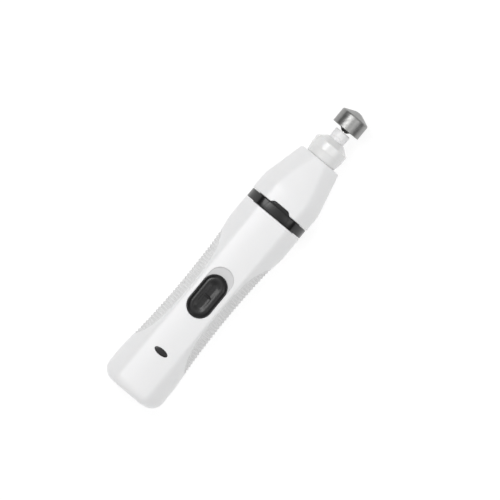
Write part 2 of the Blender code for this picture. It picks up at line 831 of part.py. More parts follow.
def drive_coupler():
    """The motor's hex dog, which the head's socket slides over."""
    bore = MOTOR_SHAFT_RADIUS + GAP
    coupler = rod("drive_coupler", 4.3 * MM, place(0, 113.4 * MM, 0), place(0, 117.2 * MM, 0), sides=24)
    hex_start, hex_end = place(0, 116 * MM, 0), place(0, 123.5 * MM, 0)
    add(coupler, rod("add_coupler_hex", 2.85 * MM, hex_start, hex_end, CUTTERS, 6))
    cut(coupler, rod("cut_coupler_bore", bore, place(0, 112 * MM, 0), place(0, 121 * MM, 0), CUTTERS, 16))
    return finish(coupler, BLACK, 0.5)


# ---------------------------------------------------------------- front frame and trim ring


def front_frame():
    """The plate that carries the motor, with the spigot that the head pushes onto."""
    plate_start, plate_end = MOTOR_END + GAP, 111.3 * MM
    spigot_end = 124.0 * MM
    frame = loft("front_frame", [cavity_section(s, shrink=0.4 * MM) for s in (plate_start, plate_end)])
    spigot = turned(
        "add_spigot",
        [
            (12.2 * MM, spigot_end),
            (12.5 * MM, spigot_end - 0.5 * MM),
            (12.5 * MM, 121.9 * MM),
            (11.5 * MM, 121.9 * MM),
            (11.5 * MM, 120.5 * MM),
            (12.5 * MM, 120.5 * MM),
            (12.5 * MM, plate_end - MM),
            (9.5 * MM, plate_end - MM),
            (9.5 * MM, spigot_end),
        ],
        steps=32,
        collection=CUTTERS,
    )
    add(frame, spigot)
    middle = rod("cut_frame_bore", 3.5 * MM, place(0, 100 * MM, 0), place(0, 115 * MM, 0), CUTTERS, 24)
    cut(frame, middle)
    for i, x in enumerate((-MOTOR_SCREW_OFFSET, MOTOR_SCREW_OFFSET), 1):
        start, end = place(x, 100 * MM, 0), place(x, 115 * MM, 0)
        cut(frame, rod(f"cut_frame_hole_{i}", 1.3 * MM, start, end, CUTTERS, 12))
    blind = rod(
        "cut_frame_blind", 1.3 * MM, *post(0, CASE_SCREW_STATIONS[1], -16 * MM, -8 * MM), CUTTERS, 12
    )
    cut(frame, blind)
    return finish(frame, (0.75, 0.75, 0.75), 0.5)


def spigot_o_ring():
    bpy.ops.mesh.primitive_torus_add(
        major_radius=12.0 * MM,
        minor_radius=0.42 * MM,
        major_segments=32,
        minor_segments=8,
        location=place(0, 121.2 * MM, 0),
        rotation=(math.pi / 2, 0, 0),
    )
    ring = bpy.context.object
    ring.name = "spigot_o_ring"
    for collection in list(ring.users_collection):
        collection.objects.unlink(ring)
    PARTS.objects.link(ring)
    return finish(ring, BLACK, 0.6)


def tab_outline(margin=0.0):
    """The ring's front tab, a low trapezoid reaching up over the head's edge."""
    root, tip = TAB_ROOT_HALF_WIDTH + margin, TAB_TIP_HALF_WIDTH + margin
    start, end = RING_END - 0.6 * MM, RING_END + TAB_LENGTH + margin
    return [(-root, start), (root, start), (root, RING_END), (tip, end), (-tip, end), (-root, RING_END)]


def ring_section(station, inset=0.0):
    return section(
        station,
        RING_HALF_WIDTH - inset,
        PANEL_HALF_WIDTH - inset / 2,
        BODY_HALF_DEPTH - inset,
        EDGE_ROUNDING,
        crowned=True,
    )


def trim_ring():
    round_by = 0.3 * MM
    ring = loft(
        "trim_ring",
        [
            ring_section(RING_START, round_by),
            ring_section(RING_START + round_by),
            ring_section(RING_END - round_by),
            ring_section(RING_END, round_by),
        ],
    )
    tab = upright("add_ring_tab", tab_outline(), 13.9 * MM, BODY_HALF_DEPTH + MM, CUTTERS)
    ahead = [ring_section(RING_START), ring_section(RING_END + 2 * TAB_LENGTH)]
    boolean(tab, loft("keep_tab_face", ahead, CUTTERS), "INTERSECT")
    bore_start, bore_end = place(0, RING_START - MM, 0), place(0, RING_END + 5 * MM, 0)
    cut(ring, rod("cut_ring_bore", RING_BORE, bore_start, bore_end, CUTTERS, 32))
    add(ring, tab)
    return finish(ring, BLACK, 0.15)


# ---------------------------------------------------------------- head


def head_shell():
    edge = 0.8 * MM
    outside = [(HEAD_START, 0.0), (HEAD_TAPER_START, 0.0), *((s * MM, 0.0) for s in (128, 134, 141))]
    outside += [(HEAD_END - edge, 0.0), (HEAD_END - 0.25 * edge, 0.3 * edge), (HEAD_END, edge)]
    shell = loft("head_shell", [head_section(s, inset, crowned=True) for s, inset in outside])
    inside = (HEAD_START - MM, HEAD_TAPER_START, 136 * MM, HEAD_END - 2 * MM)
    hollow = loft("cut_head_hollow", [head_section(s, HEAD_WALL, side_steps=4) for s in inside], CUTTERS)
    mouth = rod(
        "cut_head_mouth", 7.9 * MM, place(0, HEAD_END - 5 * MM, 0), place(0, HEAD_END + MM, 0), CUTTERS, 32
    )
    notch = upright("cut_tab_notch", tab_outline(GAP), 12.5 * MM, BODY_HALF_DEPTH + 2 * MM, CUTTERS)
    cut(shell, hollow, mouth, notch)
    return finish(shell, WHITE, 0.38)


def head_frame():
    """The bearing carrier in the head, with the skirt that grips the spigot."""
    seat = BEARING_RADIUS + GAP
    profile = [
        (7.5 * MM, 143.7 * MM),
        (7.5 * MM, 126.4 * MM),
        (13.5 * MM, 126.4 * MM),
        (13.5 * MM, 118.8 * MM),
        (12.8 * MM, 118.8 * MM),
        (12.8 * MM, 124.4 * MM),
        (5.7 * MM, 124.4 * MM),
        (5.7 * MM, 130.6 * MM),
        (seat, 130.6 * MM),
        (seat, 135.2 * MM),
        (4.0 * MM, 135.2 * MM),
        (4.0 * MM, 143.7 * MM),
    ]
    return finish(turned("head_frame", profile, steps=32), (0.75, 0.75, 0.75), 0.5)


def nose_collar():
    """The round nose that carries the front bearing and closes with a cone round the neck."""
    seat = BEARING_RADIUS + GAP
    profile = [
        (SLEEVE_RADIUS + 0.7 * MM, 160.2 * MM),
        (8.3 * MM, 157.6 * MM),
        (COLLAR_RADIUS, 157.1 * MM),
        (COLLAR_RADIUS, 152.6 * MM),
        (COLLAR_RADIUS - 0.35 * MM, 152.2 * MM),
        (COLLAR_RADIUS - 0.35 * MM, 148.5 * MM),
        (7.5 * MM, 148.5 * MM),
        (7.5 * MM, 144.1 * MM),
        (seat, 144.1 * MM),
        (seat, 154.8 * MM),
        (SLEEVE_RADIUS + GAP, 154.8 * MM),
        (SLEEVE_RADIUS + GAP, 160.2 * MM),
    ]
    return finish(turned("nose_collar", profile, steps=40), (0.84, 0.84, 0.83), 0.2)


def bearing(name, start):
    """A shielded ball bearing, 10 mm outside, 3 mm inside and 4 mm wide."""
    outer, inner, end = BEARING_RADIUS, SPINDLE_RADIUS + GAP, start + 4 * MM
    shield = 0.25 * MM
    profile = [(outer, end), (outer, start), (4.2 * MM, start), (4.2 * MM, start + shield)]
    profile += [(2.6 * MM, start + shield), (2.6 * MM, start), (inner, start), (inner, end)]
    profile += [(2.6 * MM, end), (2.6 * MM, end - shield), (4.2 * MM, end - shield), (4.2 * MM, end)]
    return finish(turned(name, profile), STEEL, 0.2, 1.0)


def dust_seal():
    inner, outer = SPINDLE_RADIUS + GAP, 4.3 * MM
    start, end = 155.1 * MM, 156.6 * MM
    seal = turned("dust_seal", [(outer, end), (outer, start), (inner, start), (inner, end)])
    return finish(seal, BLACK, 0.8)


# ---------------------------------------------------------------- spindle


def drive_socket():
    socket = rod("drive_socket", 5.0 * MM, place(0, 117.8 * MM, 0), place(0, 129.8 * MM, 0), sides=24)
    hex_bore = rod("cut_socket_hex", 3.25 * MM, place(0, 116 * MM, 0), place(0, 124.4 * MM, 0), CUTTERS, 6)
    shaft_bore = rod(
        "cut_socket_bore", SPINDLE_RADIUS + GAP, place(0, 125.3 * MM, 0), place(0, 131 * MM, 0), CUTTERS, 16
    )
    cut(socket, hex_bore, shaft_bore)
    return finish(socket, BLACK, 0.5)


def spindle():
    tip = SPINDLE_TIP_RADIUS
    step, start = 165.3 * MM, 125.6 * MM
    profile = [(0, 170.0 * MM), (tip, 170.0 * MM), (tip, step), (SPINDLE_RADIUS, step)]
    shaft = turned("spindle_shaft", [*profile, (SPINDLE_RADIUS, start), (0, start)], steps=20)
    bore, rim = SPINDLE_RADIUS + GAP, 3.0 * MM
    low, high = 135.7 * MM, 136.4 * MM
    clip = turned("retaining_clip", [(rim, high), (rim, low), (bore, low), (bore, high)])
    sleeve = turned(
        "spindle_sleeve",
        [
            (SLEEVE_RADIUS - 0.4 * MM, 165.6 * MM),
            (SLEEVE_RADIUS, 165.2 * MM),
            (SLEEVE_RADIUS, 157.0 * MM),
            (bore, 157.0 * MM),
            (bore, 165.6 * MM),
        ],
    )
    return [
        finish(shaft, STEEL, 0.2, 1.0),
        finish(clip, STEEL, 0.3, 1.0),
        finish(sleeve, WHITE, 0.35),
        drive_socket(),
        grinding_drum(),
    ]


def grinding_drum():
    """The steel drum: a short cylinder with a low cone on top and a small hub cone below."""
    bore = SPINDLE_TIP_RADIUS + GAP
    profile = [
        (0, LENGTH),
        (1.6 * MM, 177.9 * MM),
        (7.2 * MM, 175.6 * MM),
        (DRUM_RADIUS, 175.1 * MM),
        (DRUM_RADIUS, 167.6 * MM),
        (DRUM_RADIUS - 0.3 * MM, 167.3 * MM),
        (3.0 * MM, 167.3 * MM),
        (bore + 0.3 * MM, 165.95 * MM),
        (bore, 165.95 * MM),
        (bore, 170.4 * MM),
        (0, 170.4 * MM),
    ]
    return finish(turned("grinding_drum", profile, steps=40), STEEL, 0.32, 1.0)


# ---------------------------------------------------------------- assembly


def ride(name, location, children, parent=None):
    """Hangs a moving body's pieces on an empty that sits on its joint."""
    empty = bpy.data.objects.new(name, None)
    empty.empty_display_size = 10 * MM
    PARTS.objects.link(empty)
    empty.location = location
    if parent:
        empty.parent = parent
        empty.matrix_parent_inverse = Matrix.Translation(-parent.location)
    for child in children:
        child.parent = empty
        child.matrix_parent_inverse = Matrix.Translation(-location)
    return empty


def build():
    case_shells()
    grips()
    case_screws()
    trim_ring()
    front_frame()
    spigot_o_ring()

    indicator()
    circuit_board()
    control_chip()
    board_screws()
    slide_switch_housing()
    charge_socket()
    battery()
    leads()

    motor_can()
    motor_end_cap()
    motor_magnets()
    motor_contacts()
    motor_damper()
    motor_screws()

    on_axis = place(0, 117 * MM, 0)
    ride("motor_axis", place(0, 90 * MM, 0), rotor())
    ride("switch_slide", place(0, LEVER_STATION, BODY_HALF_DEPTH), [slide_button(), switch_lever()])
    head_pieces = [head_shell(), head_frame(), nose_collar(), dust_seal()]
    head_pieces += [bearing("rear_bearing", 130.9 * MM), bearing("front_bearing", 150.4 * MM)]
    head_slide = ride("head_slide", on_axis, head_pieces)
    ride("spindle_axis", place(0, 150 * MM, 0), spindle(), parent=head_slide)


clear_scene()
PARTS = new_collection("pet_nail_grinder")
CUTTERS = new_collection("cutters")
build()
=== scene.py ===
"""Looks of the cordless pet nail grinder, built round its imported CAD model.

The tool lies on its back along +Y, with the switch facing up. Places along it are stations,
measured from the flat base, and depths, measured from its axis towards the front face.
Every outside piece is rebuilt with rounded edges and fine surface detail in the place that
its CAD node holds. The pieces inside keep their CAD shape and get real materials.
"""

import json
import math

import bmesh
import bpy
from mathutils import Matrix, Vector

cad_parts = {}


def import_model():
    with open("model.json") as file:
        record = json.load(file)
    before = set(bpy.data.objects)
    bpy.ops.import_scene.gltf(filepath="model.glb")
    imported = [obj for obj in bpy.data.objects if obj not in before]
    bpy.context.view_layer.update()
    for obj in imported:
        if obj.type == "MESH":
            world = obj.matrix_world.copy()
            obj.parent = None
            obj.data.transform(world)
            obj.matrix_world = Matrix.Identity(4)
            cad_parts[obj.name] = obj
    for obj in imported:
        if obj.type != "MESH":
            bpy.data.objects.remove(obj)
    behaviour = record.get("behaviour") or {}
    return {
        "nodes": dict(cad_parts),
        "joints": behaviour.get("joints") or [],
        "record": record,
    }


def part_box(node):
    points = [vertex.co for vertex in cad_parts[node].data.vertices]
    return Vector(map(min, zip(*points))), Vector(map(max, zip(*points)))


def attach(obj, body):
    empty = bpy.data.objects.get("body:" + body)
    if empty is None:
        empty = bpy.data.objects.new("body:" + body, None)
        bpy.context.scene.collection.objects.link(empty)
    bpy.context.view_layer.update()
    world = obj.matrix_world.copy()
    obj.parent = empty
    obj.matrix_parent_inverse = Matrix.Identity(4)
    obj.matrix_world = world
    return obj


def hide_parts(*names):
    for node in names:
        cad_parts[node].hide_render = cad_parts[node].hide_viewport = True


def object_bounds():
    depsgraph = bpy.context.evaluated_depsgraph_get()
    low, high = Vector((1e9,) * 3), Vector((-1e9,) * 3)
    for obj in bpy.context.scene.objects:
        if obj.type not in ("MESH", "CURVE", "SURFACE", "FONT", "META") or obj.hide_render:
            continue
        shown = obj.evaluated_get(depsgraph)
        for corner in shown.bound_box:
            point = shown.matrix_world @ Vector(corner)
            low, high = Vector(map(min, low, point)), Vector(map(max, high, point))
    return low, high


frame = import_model()
CAD_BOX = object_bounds()

MM = 0.001


# ---------------------------------------------------------------- places from the frame


def reach(node, axis):
    """Lowest and highest coordinate of a CAD node along an axis, 0 for X, 1 for Y, 2 for Z."""
    low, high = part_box(node)
    return low[axis], high[axis]


BASE = reach("front_shell", 1)[0]
AXIS_HEIGHT = sum(reach("nose_collar", 2)) / 2


def stations(node):
    """First and last station of a CAD node."""
    low, high = reach(node, 1)
    return low - BASE, high - BASE


def half_width(node):
    low, high = reach(node, 0)
    return (high - low) / 2


def top_depth(node):
    return reach(node, 2)[1] - AXIS_HEIGHT


def place(x, station, depth):
    return Vector((x, BASE + station, AXIS_HEIGHT + depth))


BODY_HALF_WIDTH = half_width("front_shell")
BODY_HALF_DEPTH = top_depth("front_shell")
HANDLE_END = stations("front_shell")[1]
RING_START = stations("trim_ring")[0]
RING_HALF_WIDTH = half_width("trim_ring")
HEAD_START, HEAD_END = stations("head_shell")
HEAD_HALF_WIDTH = half_width("head_shell")
GRIP_START, GRIP_END = stations("left_grip")
GRIP_HALF_DEPTH = top_depth("left_grip")
COLLAR_RADIUS = half_width("nose_collar")
COLLAR_END = stations("nose_collar")[1]
SLEEVE_RADIUS = half_width("spindle_sleeve")
DRUM_RADIUS = half_width("grinding_drum")
DRUM_START, DRUM_END = stations("grinding_drum")
SWITCH_START, SWITCH_END = stations("slide_button")
SWITCH_HALF_WIDTH = half_width("slide_button")
SWITCH_TOP = top_depth("slide_button")
SWITCH_TRAVEL = next(j for j in frame["joints"] if j["name"] == "power_slide")["range_m"][1]
LENS_STATION = sum(stations("indicator_lens")) / 2

# Shape of the body, as the CAD has it
PANEL_HALF_WIDTH = 9.5 * MM
FRONT_RADIUS = 42.0 * MM
EDGE_ROUNDING = 1.5 * MM
BASE_SIDE_RADIUS = 7.2 * MM
BASE_FACE_RADIUS = 4.5 * MM
BASE_WALL = 2.2 * MM
WALL = 1.9 * MM
SIDE_WALL = 2.4 * MM
SCOOP_FLATNESS = 34.0 * MM
WAIST = (
    (14.0 * MM, 0.0),
    (26.0 * MM, 0.85 * MM),
    (38.0 * MM, 1.6 * MM),
    (57.0 * MM, 2.15 * MM),
    (78.0 * MM, 1.8 * MM),
    (91.0 * MM, 1.05 * MM),
    (100.0 * MM, 0.0),
)
HEAD_TAPER_START = 126.0 * MM
HEAD_END_SCALE = 0.676
HEAD_PANEL_END = 3.2 * MM
HEAD_WALL = 1.7 * MM
RING_LENGTH = 4.9 * MM
TAB_LENGTH = 1.7 * MM
TAB_FLOOR = 13.9 * MM
RING_BORE = 12.8 * MM
RECESS_DEPTH = 1.0 * MM

# Where the cavity starts behind the base wall: how much smaller it is there, and how soon it widens
CAVITY_START_INSET = 3.0 * MM
CAVITY_START_LENGTH = 3.8 * MM
# A depth that is surely inside the handle's cavity, and inside the head's hollow
INSIDE_HANDLE = 12.0 * MM
INSIDE_HEAD = 12.5 * MM

# Openings and small fits
MOUTH_HALF_LENGTH = 4.3 * MM
MOUTH_HALF_HEIGHT = 1.75 * MM
LENS_HALF_WIDTH = 3.8 * MM
LENS_HALF_HEIGHT = 1.6 * MM
LENS_GAP = 0.05 * MM
LEVER_SLOT_HALF_WIDTH = 1.7 * MM
LEVER_SLOT_MARGIN = 0.4 * MM
SLIDE_GAP = 0.15 * MM
TAB_GAP = 0.12 * MM
COLLAR_GAP = 0.12 * MM
HEAD_MOUTH_RADIUS = 7.9 * MM
SCREW_HOLE_RADIUS = 1.3 * MM
SCREW_SEAT_RADIUS = 2.25 * MM

# The bearing seat in the nose collar, as (radius, first station, last station)
BEARING_SEAT = (5.3 * MM, 144.1 * MM, 154.8 * MM)
COLLAR_SPIGOT_RADIUS = 7.5 * MM
SHAFT_HOLE = 1.8 * MM
DRUM_HOLE = 1.1 * MM
DRUM_HOLE_DEPTH = 4.45 * MM

# The slide: its rim's rounding, then the insets between which the tray dips, and how deep
SWITCH_SHOULDER = 2.6 * MM
TRAY_RIM = 2.65 * MM
TRAY_FLOOR = 5.7 * MM
TRAY_DEPTH = 0.45 * MM

# Fine detail
SEAM = 0.08 * MM
SEAM_ROUNDING = 0.25 * MM
RIB_PITCH = 1.8 * MM
RIB_DEPTH = 0.5 * MM
GRIP_THICKNESS = 1.0 * MM
GRIP_GAP = 0.12 * MM


# ---------------------------------------------------------------- mesh helpers


def object_from(name, form, smooth_angle=40):
    """Turns a bmesh into an object with its faces pointing out and smooth shading."""
    bmesh.ops.recalc_face_normals(form, faces=form.faces)
    mesh = bpy.data.meshes.new(name)
    form.to_mesh(mesh)
    form.free()
    mesh.shade_smooth()
    mesh.set_sharp_from_angle(angle=math.radians(smooth_angle))
    obj = bpy.data.objects.new(name, mesh)
    bpy.context.scene.collection.objects.link(obj)
    return obj


def loft(name, rings, merge=0.0, smooth_angle=40):
    """A closed body through rings of equally many points, with flat ends."""
    form = bmesh.new()
    rows = [[form.verts.new(point) for point in ring] for ring in rings]
    for low, high in zip(rows, rows[1:]):
        for i in range(len(low)):
            j = (i + 1) % len(low)
            form.faces.new((low[i], low[j], high[j], high[i]))
    form.faces.new(rows[0])
    form.faces.new(rows[-1])
    if merge:
        bmesh.ops.remove_doubles(form, verts=form.verts, dist=merge)
    return object_from(name, form, smooth_angle)


def circle_angles(count):
    return [2 * math.pi * k / count for k in range(count)]


def turned(name, profile, segments=96, smooth_angle=35):
    """A body turned about the tool's axis from a profile of (radius, station) points.

    The profile is closed, or it starts and ends on the axis.
    """
    form = bmesh.new()
    rows = []
    turns = circle_angles(segments)
    for radius, station in profile:
        if radius <= 0:
            rows.append([form.verts.new(place(0, station, 0))])
            continue
        ring = [place(radius * math.sin(a), station, radius * math.cos(a)) for a in turns]
        rows.append([form.verts.new(point) for point in ring])
    pairs = list(zip(rows, rows[1:]))
    if profile[0][0] > 0:
        pairs.append((rows[-1], rows[0]))
    for low, high in pairs:
        for i in range(segments):
            j = (i + 1) % segments
            corners = [low[i % len(low)], low[j % len(low)], high[j % len(high)], high[i % len(high)]]
            form.faces.new(list(dict.fromkeys(corners)))
    return object_from(name, form, smooth_angle)


def rounded(profile, radius, steps=5):
    """A closed or open profile with its marked corners rounded.

    Each point is (radius, station) or (radius, station, rounding); a rounding replaces `radius`.
    """
    points = [(Vector(p[:2]), p[2] if len(p) > 2 else radius) for p in profile]
    closed = profile[0][0] > 0
    result = []
    for i, (corner, rounding) in enumerate(points):
        ends = i in (0, len(points) - 1)
        if rounding == 0 or (ends and not closed):
            result.append(tuple(corner))
            continue
        before = points[i - 1][0] - corner
        after = points[(i + 1) % len(points)][0] - corner
        step = min(rounding, 0.45 * before.length, 0.45 * after.length)
        first, last = corner + before.normalized() * step, corner + after.normalized() * step
        for k in range(steps + 1):
            t = k / steps
            result.append(tuple((1 - t) ** 2 * first + 2 * t * (1 - t) * corner + t**2 * last))
    return result


def cut(obj, cutters, operation="DIFFERENCE"):
    """Applies Boolean cuts, or unions, for good and removes the cutters."""
    for cutter in cutters:
        modifier = obj.modifiers.new(cutter.name, "BOOLEAN")
        modifier.operation = operation
        modifier.solver = "MANIFOLD"
        modifier.object = cutter
    graph = bpy.context.evaluated_depsgraph_get()
    mesh = bpy.data.meshes.new_from_object(obj.evaluated_get(graph))
    obj.modifiers.clear()
    old = obj.data
    obj.data = mesh
    bpy.data.meshes.remove(old)
    for cutter in cutters:
        bpy.data.objects.remove(cutter, do_unlink=True)
    mesh.shade_smooth()
    mesh.set_sharp_from_angle(angle=math.radians(32))
    return obj


def through(points, at):
    """Height of a smooth curve through (place, height) points, level at both ends."""
    if at <= points[0][0]:
        return points[0][1]
    if at >= points[-1][0]:
        return points[-1][1]
    slopes = [0.0]
    for before, after in zip(points, points[2:]):
        slopes.append((after[1] - before[1]) / (after[0] - before[0]))
    slopes.append(0.0)
    i = max(k for k in range(len(points) - 1) if points[k][0] <= at)
    (x0, y0), (x1, y1) = points[i : i + 2]
    span = x1 - x0
    t = (at - x0) / span
    rise = (2 * t**3 - 3 * t**2 + 1) * y0 + (3 * t**2 - 2 * t**3) * y1
    lean = (t**3 - 2 * t**2 + t) * slopes[i] + (t**3 - t**2) * slopes[i + 1]
    return rise + span * lean


def spread(low, high, count):
    return [low + (high - low) * i / count for i in range(count + 1)]


def quarter_arc(radius, steps=4):
    """(inset, drop) pairs of a quarter-round edge, from the wall up onto the face."""
    angles = [math.pi / 2 * i / steps for i in range(steps + 1)]
    return [(radius * (1 - math.cos(a)), radius * (1 - math.sin(a))) for a in angles]


# ---------------------------------------------------------------- body sections


def crown_drop(x):
    """How far the crowned front face has fallen away at a distance from its middle."""
    return x**2 / (2 * FRONT_RADIUS)


def quarter(half_width, flat, half_depth, corner, waist_in=0.0, crowned=True):
    """A quarter of the body's section, from the middle of a face to the middle of the side.

    The side bows out from the flat panel's edge, and is scooped in at the waist.
    """
    face_steps, corner_steps, side_steps = 8, 7, 18

    def face(x):
        return half_depth - crown_drop(x) if crowned else half_depth

    brink = face(flat)

    def side(depth):
        bow = half_width - (half_width - flat) * (depth / brink) ** 2
        if waist_in <= 0:
            return bow
        scoop = half_width - waist_in - depth**2 / SCOOP_FLATNESS
        soft = min(0.25 * MM, waist_in)
        apart = abs(bow - scoop)
        return min(bow, scoop) - max(0.0, soft - apart) ** 2 / (4 * soft)

    turn = flat - corner
    start = Vector((turn, face(turn)))
    edge = Vector((flat, brink))
    end = Vector((side(brink - 0.9 * corner), brink - 0.9 * corner))
    across = [turn * i / face_steps for i in range(face_steps)]
    points = [Vector((x, face(x))) for x in across]
    for i in range(corner_steps):
        t = i / corner_steps
        points.append((1 - t) ** 2 * start + 2 * t * (1 - t) * edge + t**2 * end)
    for i in range(side_steps + 1):
        depth = end.y * (1 - i / side_steps)
        points.append(Vector((side(depth), depth)))
    return points


def ring_of(station, *shape):
    """A whole ring of the body at a station, with a crowned front and a level back."""
    front, back = quarter(*shape), quarter(*shape, crowned=False)
    outline = front + [Vector((p.x, -p.y)) for p in reversed(back[:-1])]
    outline += [Vector((-p.x, -p.y)) for p in back[1:]]
    outline += [Vector((-p.x, p.y)) for p in reversed(front[1:-1])]
    return [place(p.x, station, p.y) for p in outline]


def base_round(station, radius):
    """How far a quarter-round base edge is drawn in at a station."""
    left = max(0.0, radius - station)
    return radius - math.sqrt(radius**2 - left**2)


def waist(station):
    return through(WAIST, station)


def handle_quarter(station, crowned, inset=0.0):
    narrow = base_round(station, BASE_SIDE_RADIUS)
    shallow = base_round(station, BASE_FACE_RADIUS)
    return quarter(
        BODY_HALF_WIDTH - narrow - inset,
        PANEL_HALF_WIDTH - 0.25 * narrow - inset / 2,
        BODY_HALF_DEPTH - shallow - inset,
        EDGE_ROUNDING,
        waist(station),
        crowned,
    )


def cavity_quarter(station, shrink=0.0):
    return quarter(
        BODY_HALF_WIDTH - SIDE_WALL - shrink,
        PANEL_HALF_WIDTH - 1.0 * MM,
        BODY_HALF_DEPTH - WALL - shrink,
        1.2 * MM,
        waist(station),
        crowned=False,
    )


def head_ring(station, inset=0.0):
    """A ring of the head, which gets smaller towards the nose while its flat panel narrows.

    The taper starts softly, over a short blend.
    """
    along = (station - HEAD_TAPER_START) / (HEAD_END - HEAD_TAPER_START)
    blend = 0.12
    if along < blend:
        along = max(0.0, along + blend) ** 2 / (4 * blend)
    k = 1 - (1 - HEAD_END_SCALE) * along
    wide = PANEL_HALF_WIDTH * HEAD_HALF_WIDTH / BODY_HALF_WIDTH
    flat = wide - (wide - HEAD_PANEL_END) * along**1.2
    half, deep = HEAD_HALF_WIDTH * k - inset, BODY_HALF_DEPTH * k - inset
    return ring_of(station, half, flat - inset / 2, deep, EDGE_ROUNDING * k)


# ---------------------------------------------------------------- handle casings


def half_ring(station, outer, inner, sign):
    """One half of a wall at a station: over the outside, then back along the inside.

    The outside turns in with a small rounding at the seam between the two halves.
    """
    seam_x = outer[-1].x
    turn = [Vector((seam_x - inset, SEAM + drop)) for inset, drop in quarter_arc(SEAM_ROUNDING)]
    over = outer[:-1] + turn
    under = inner[:-1] + [Vector((inner[-1].x, SEAM))]
    right = over[::-1]
    left = [Vector((-p.x, p.y)) for p in over[1:]]
    back_left = [Vector((-p.x, p.y)) for p in under[::-1]]
    back_right = under[1:]
    outline = right + left + back_left + back_right
    return [place(p.x, station, sign * p.y) for p in outline]


def seam_fill(points, edge):
    """A section pulled flat onto the seam and within an edge, which leaves the base wall solid."""
    narrow = min(1.0, edge / points[-1].x)
    return [Vector((p.x * narrow, SEAM + 0.001 * MM * (len(points) - i))) for i, p in enumerate(points)]


def casing_blank(name, sign):
    """Half of the handle's casing, with its base wall closed. The front half is crowned.

    Its rings lie close together round the base's rounded edge and even along the rest.
    """
    crowned = sign > 0
    base = [s * MM for s in (0.0, 0.12, 0.35, 0.7, 1.15, 1.7)]
    after = [s * MM for s in (2.8, 3.5, 4.5, 5.6, 7.2, 9.0, 11.5)]
    top = HANDLE_END
    main = spread(13.0 * MM, top - SEAM_ROUNDING, 92)
    rings = []
    floor = cavity_quarter(BASE_WALL, CAVITY_START_INSET)
    for s in [*base, BASE_WALL]:
        outer = handle_quarter(s, crowned)
        rings.append(half_ring(s, outer, seam_fill(floor, outer[-1].x - 2 * SEAM_ROUNDING), sign))
    rings.append(half_ring(BASE_WALL, handle_quarter(BASE_WALL, crowned), floor, sign))
    for s in after + main:
        shrink = CAVITY_START_INSET * max(0.0, 1 - (s - BASE_WALL) / CAVITY_START_LENGTH) ** 2
        rings.append(half_ring(s, handle_quarter(s, crowned), cavity_quarter(s, shrink), sign))
    for inset, drop in quarter_arc(SEAM_ROUNDING)[1:]:
        station = top - drop
        outer = handle_quarter(station, crowned, inset)
        rings.append(half_ring(station, outer, cavity_quarter(station), sign))
    return loft(name, rings, merge=1e-7)


def upright(name, outline, levels):
    """A body from one outline function, through levels from low to high.

    A level is (offset, depth), or (offset, depth, True) where it follows the crowned front.
    """
    rings = []
    for offset, depth, *follows in levels:
        drop = 1 if follows else 0
        rings.append([place(x, s, depth - drop * crown_drop(x)) for x, s in outline(offset)])
    return loft(name, rings)


def stadium(half_width, start, end, steps=28):
    """A slot outline with round ends that can be grown by an offset."""

    def grown(offset):
        outline = []
        for middle, sign in ((end - half_width, 1), (start + half_width, -1)):
            for i in range(steps + 1):
                angle = math.pi * i / steps
                radius = (half_width + offset) * sign
                outline.append((radius * math.cos(angle), middle + radius * math.sin(angle)))
        return outline

    return grown


def ellipse(half_width, half_height, station, steps=64):
    """An oval outline that can be grown by an offset."""

    def grown(offset):
        wide, high = half_width + offset, half_height + offset
        return [(wide * math.cos(a), station + high * math.sin(a)) for a in circle_angles(steps)]

    return grown


def rim_levels(bottom, face, rounding, above):
    """Levels of a cutter that leaves a quarter-round rim where it meets a face."""
    levels = [(0.0, bottom)]
    levels += [(inset, face - drop, True) for inset, drop in quarter_arc(rounding)]
    levels.append((rounding, face + above))
    return levels


def grip_reach(station):
    """Half the height of the almond-shaped grip at a station."""
    middle = (GRIP_START + GRIP_END) / 2
    along = (station - middle) / (GRIP_END - GRIP_START) * 2
    return GRIP_HALF_DEPTH * math.sqrt(max(0.0, 1 - along**4))


def grip_stations(pitch):
    """Even stations along the grip, packed closer where its ends turn round."""
    ends = [0.01 * MM, 0.04 * MM, 0.09 * MM, 0.16 * MM]
    count = round((GRIP_END - GRIP_START) / pitch)
    even = [GRIP_START + pitch * i for i in range(1, count)]
    even = [s for s in even if s < GRIP_END - 0.2 * MM]
    return [GRIP_START + s for s in ends] + even + [GRIP_END - s for s in reversed(ends)]


def grip_side(station, depth, sign, under):
    """A point on the scooped side at a distance under its surface."""
    crest = BODY_HALF_WIDTH - waist(station)
    return place(sign * (crest - depth**2 / SCOOP_FLATNESS - under), station, depth)


def grip_pocket(name, sign):
    """The cutter for a grip's pocket, with its mouth flared to a soft rim."""
    rings = []
    flare = quarter_arc(0.22 * MM)
    floor, outside = GRIP_THICKNESS + 0.1 * MM, -8 * MM
    for station in grip_stations(1.2 * MM):
        half = grip_reach(station) + GRIP_GAP
        depths = spread(-half, half, 24)
        ring = [grip_side(station, d, sign, floor) for d in depths]
        wall = [(half + inset, drop) for inset, drop in flare] + [(half + flare[-1][0], outside)]
        ring += [grip_side(station, d, sign, under) for d, under in wall]
        ring += [grip_side(station, -d, sign, under) for d, under in reversed(wall)]
        rings.append(ring)
    rings[0] = [p - Vector((0, GRIP_GAP, 0)) for p in rings[0]]
    rings[-1] = [p + Vector((0, GRIP_GAP, 0)) for p in rings[-1]]
    return loft(name, rings)


def rod(name, radius, start, end, segments=48):
    """A plain cylinder between two points, used only to cut with."""
    form = bmesh.new()
    bmesh.ops.create_cone(
        form,
        cap_ends=True,
        segments=segments,
        radius1=radius,
        radius2=radius,
        depth=(end - start).length,
    )
    turn = Vector((0, 0, 1)).rotation_difference(end - start).to_matrix().to_4x4()
    bmesh.ops.transform(form, matrix=Matrix.Translation((start + end) / 2) @ turn, verts=form.verts)
    return object_from(name, form)


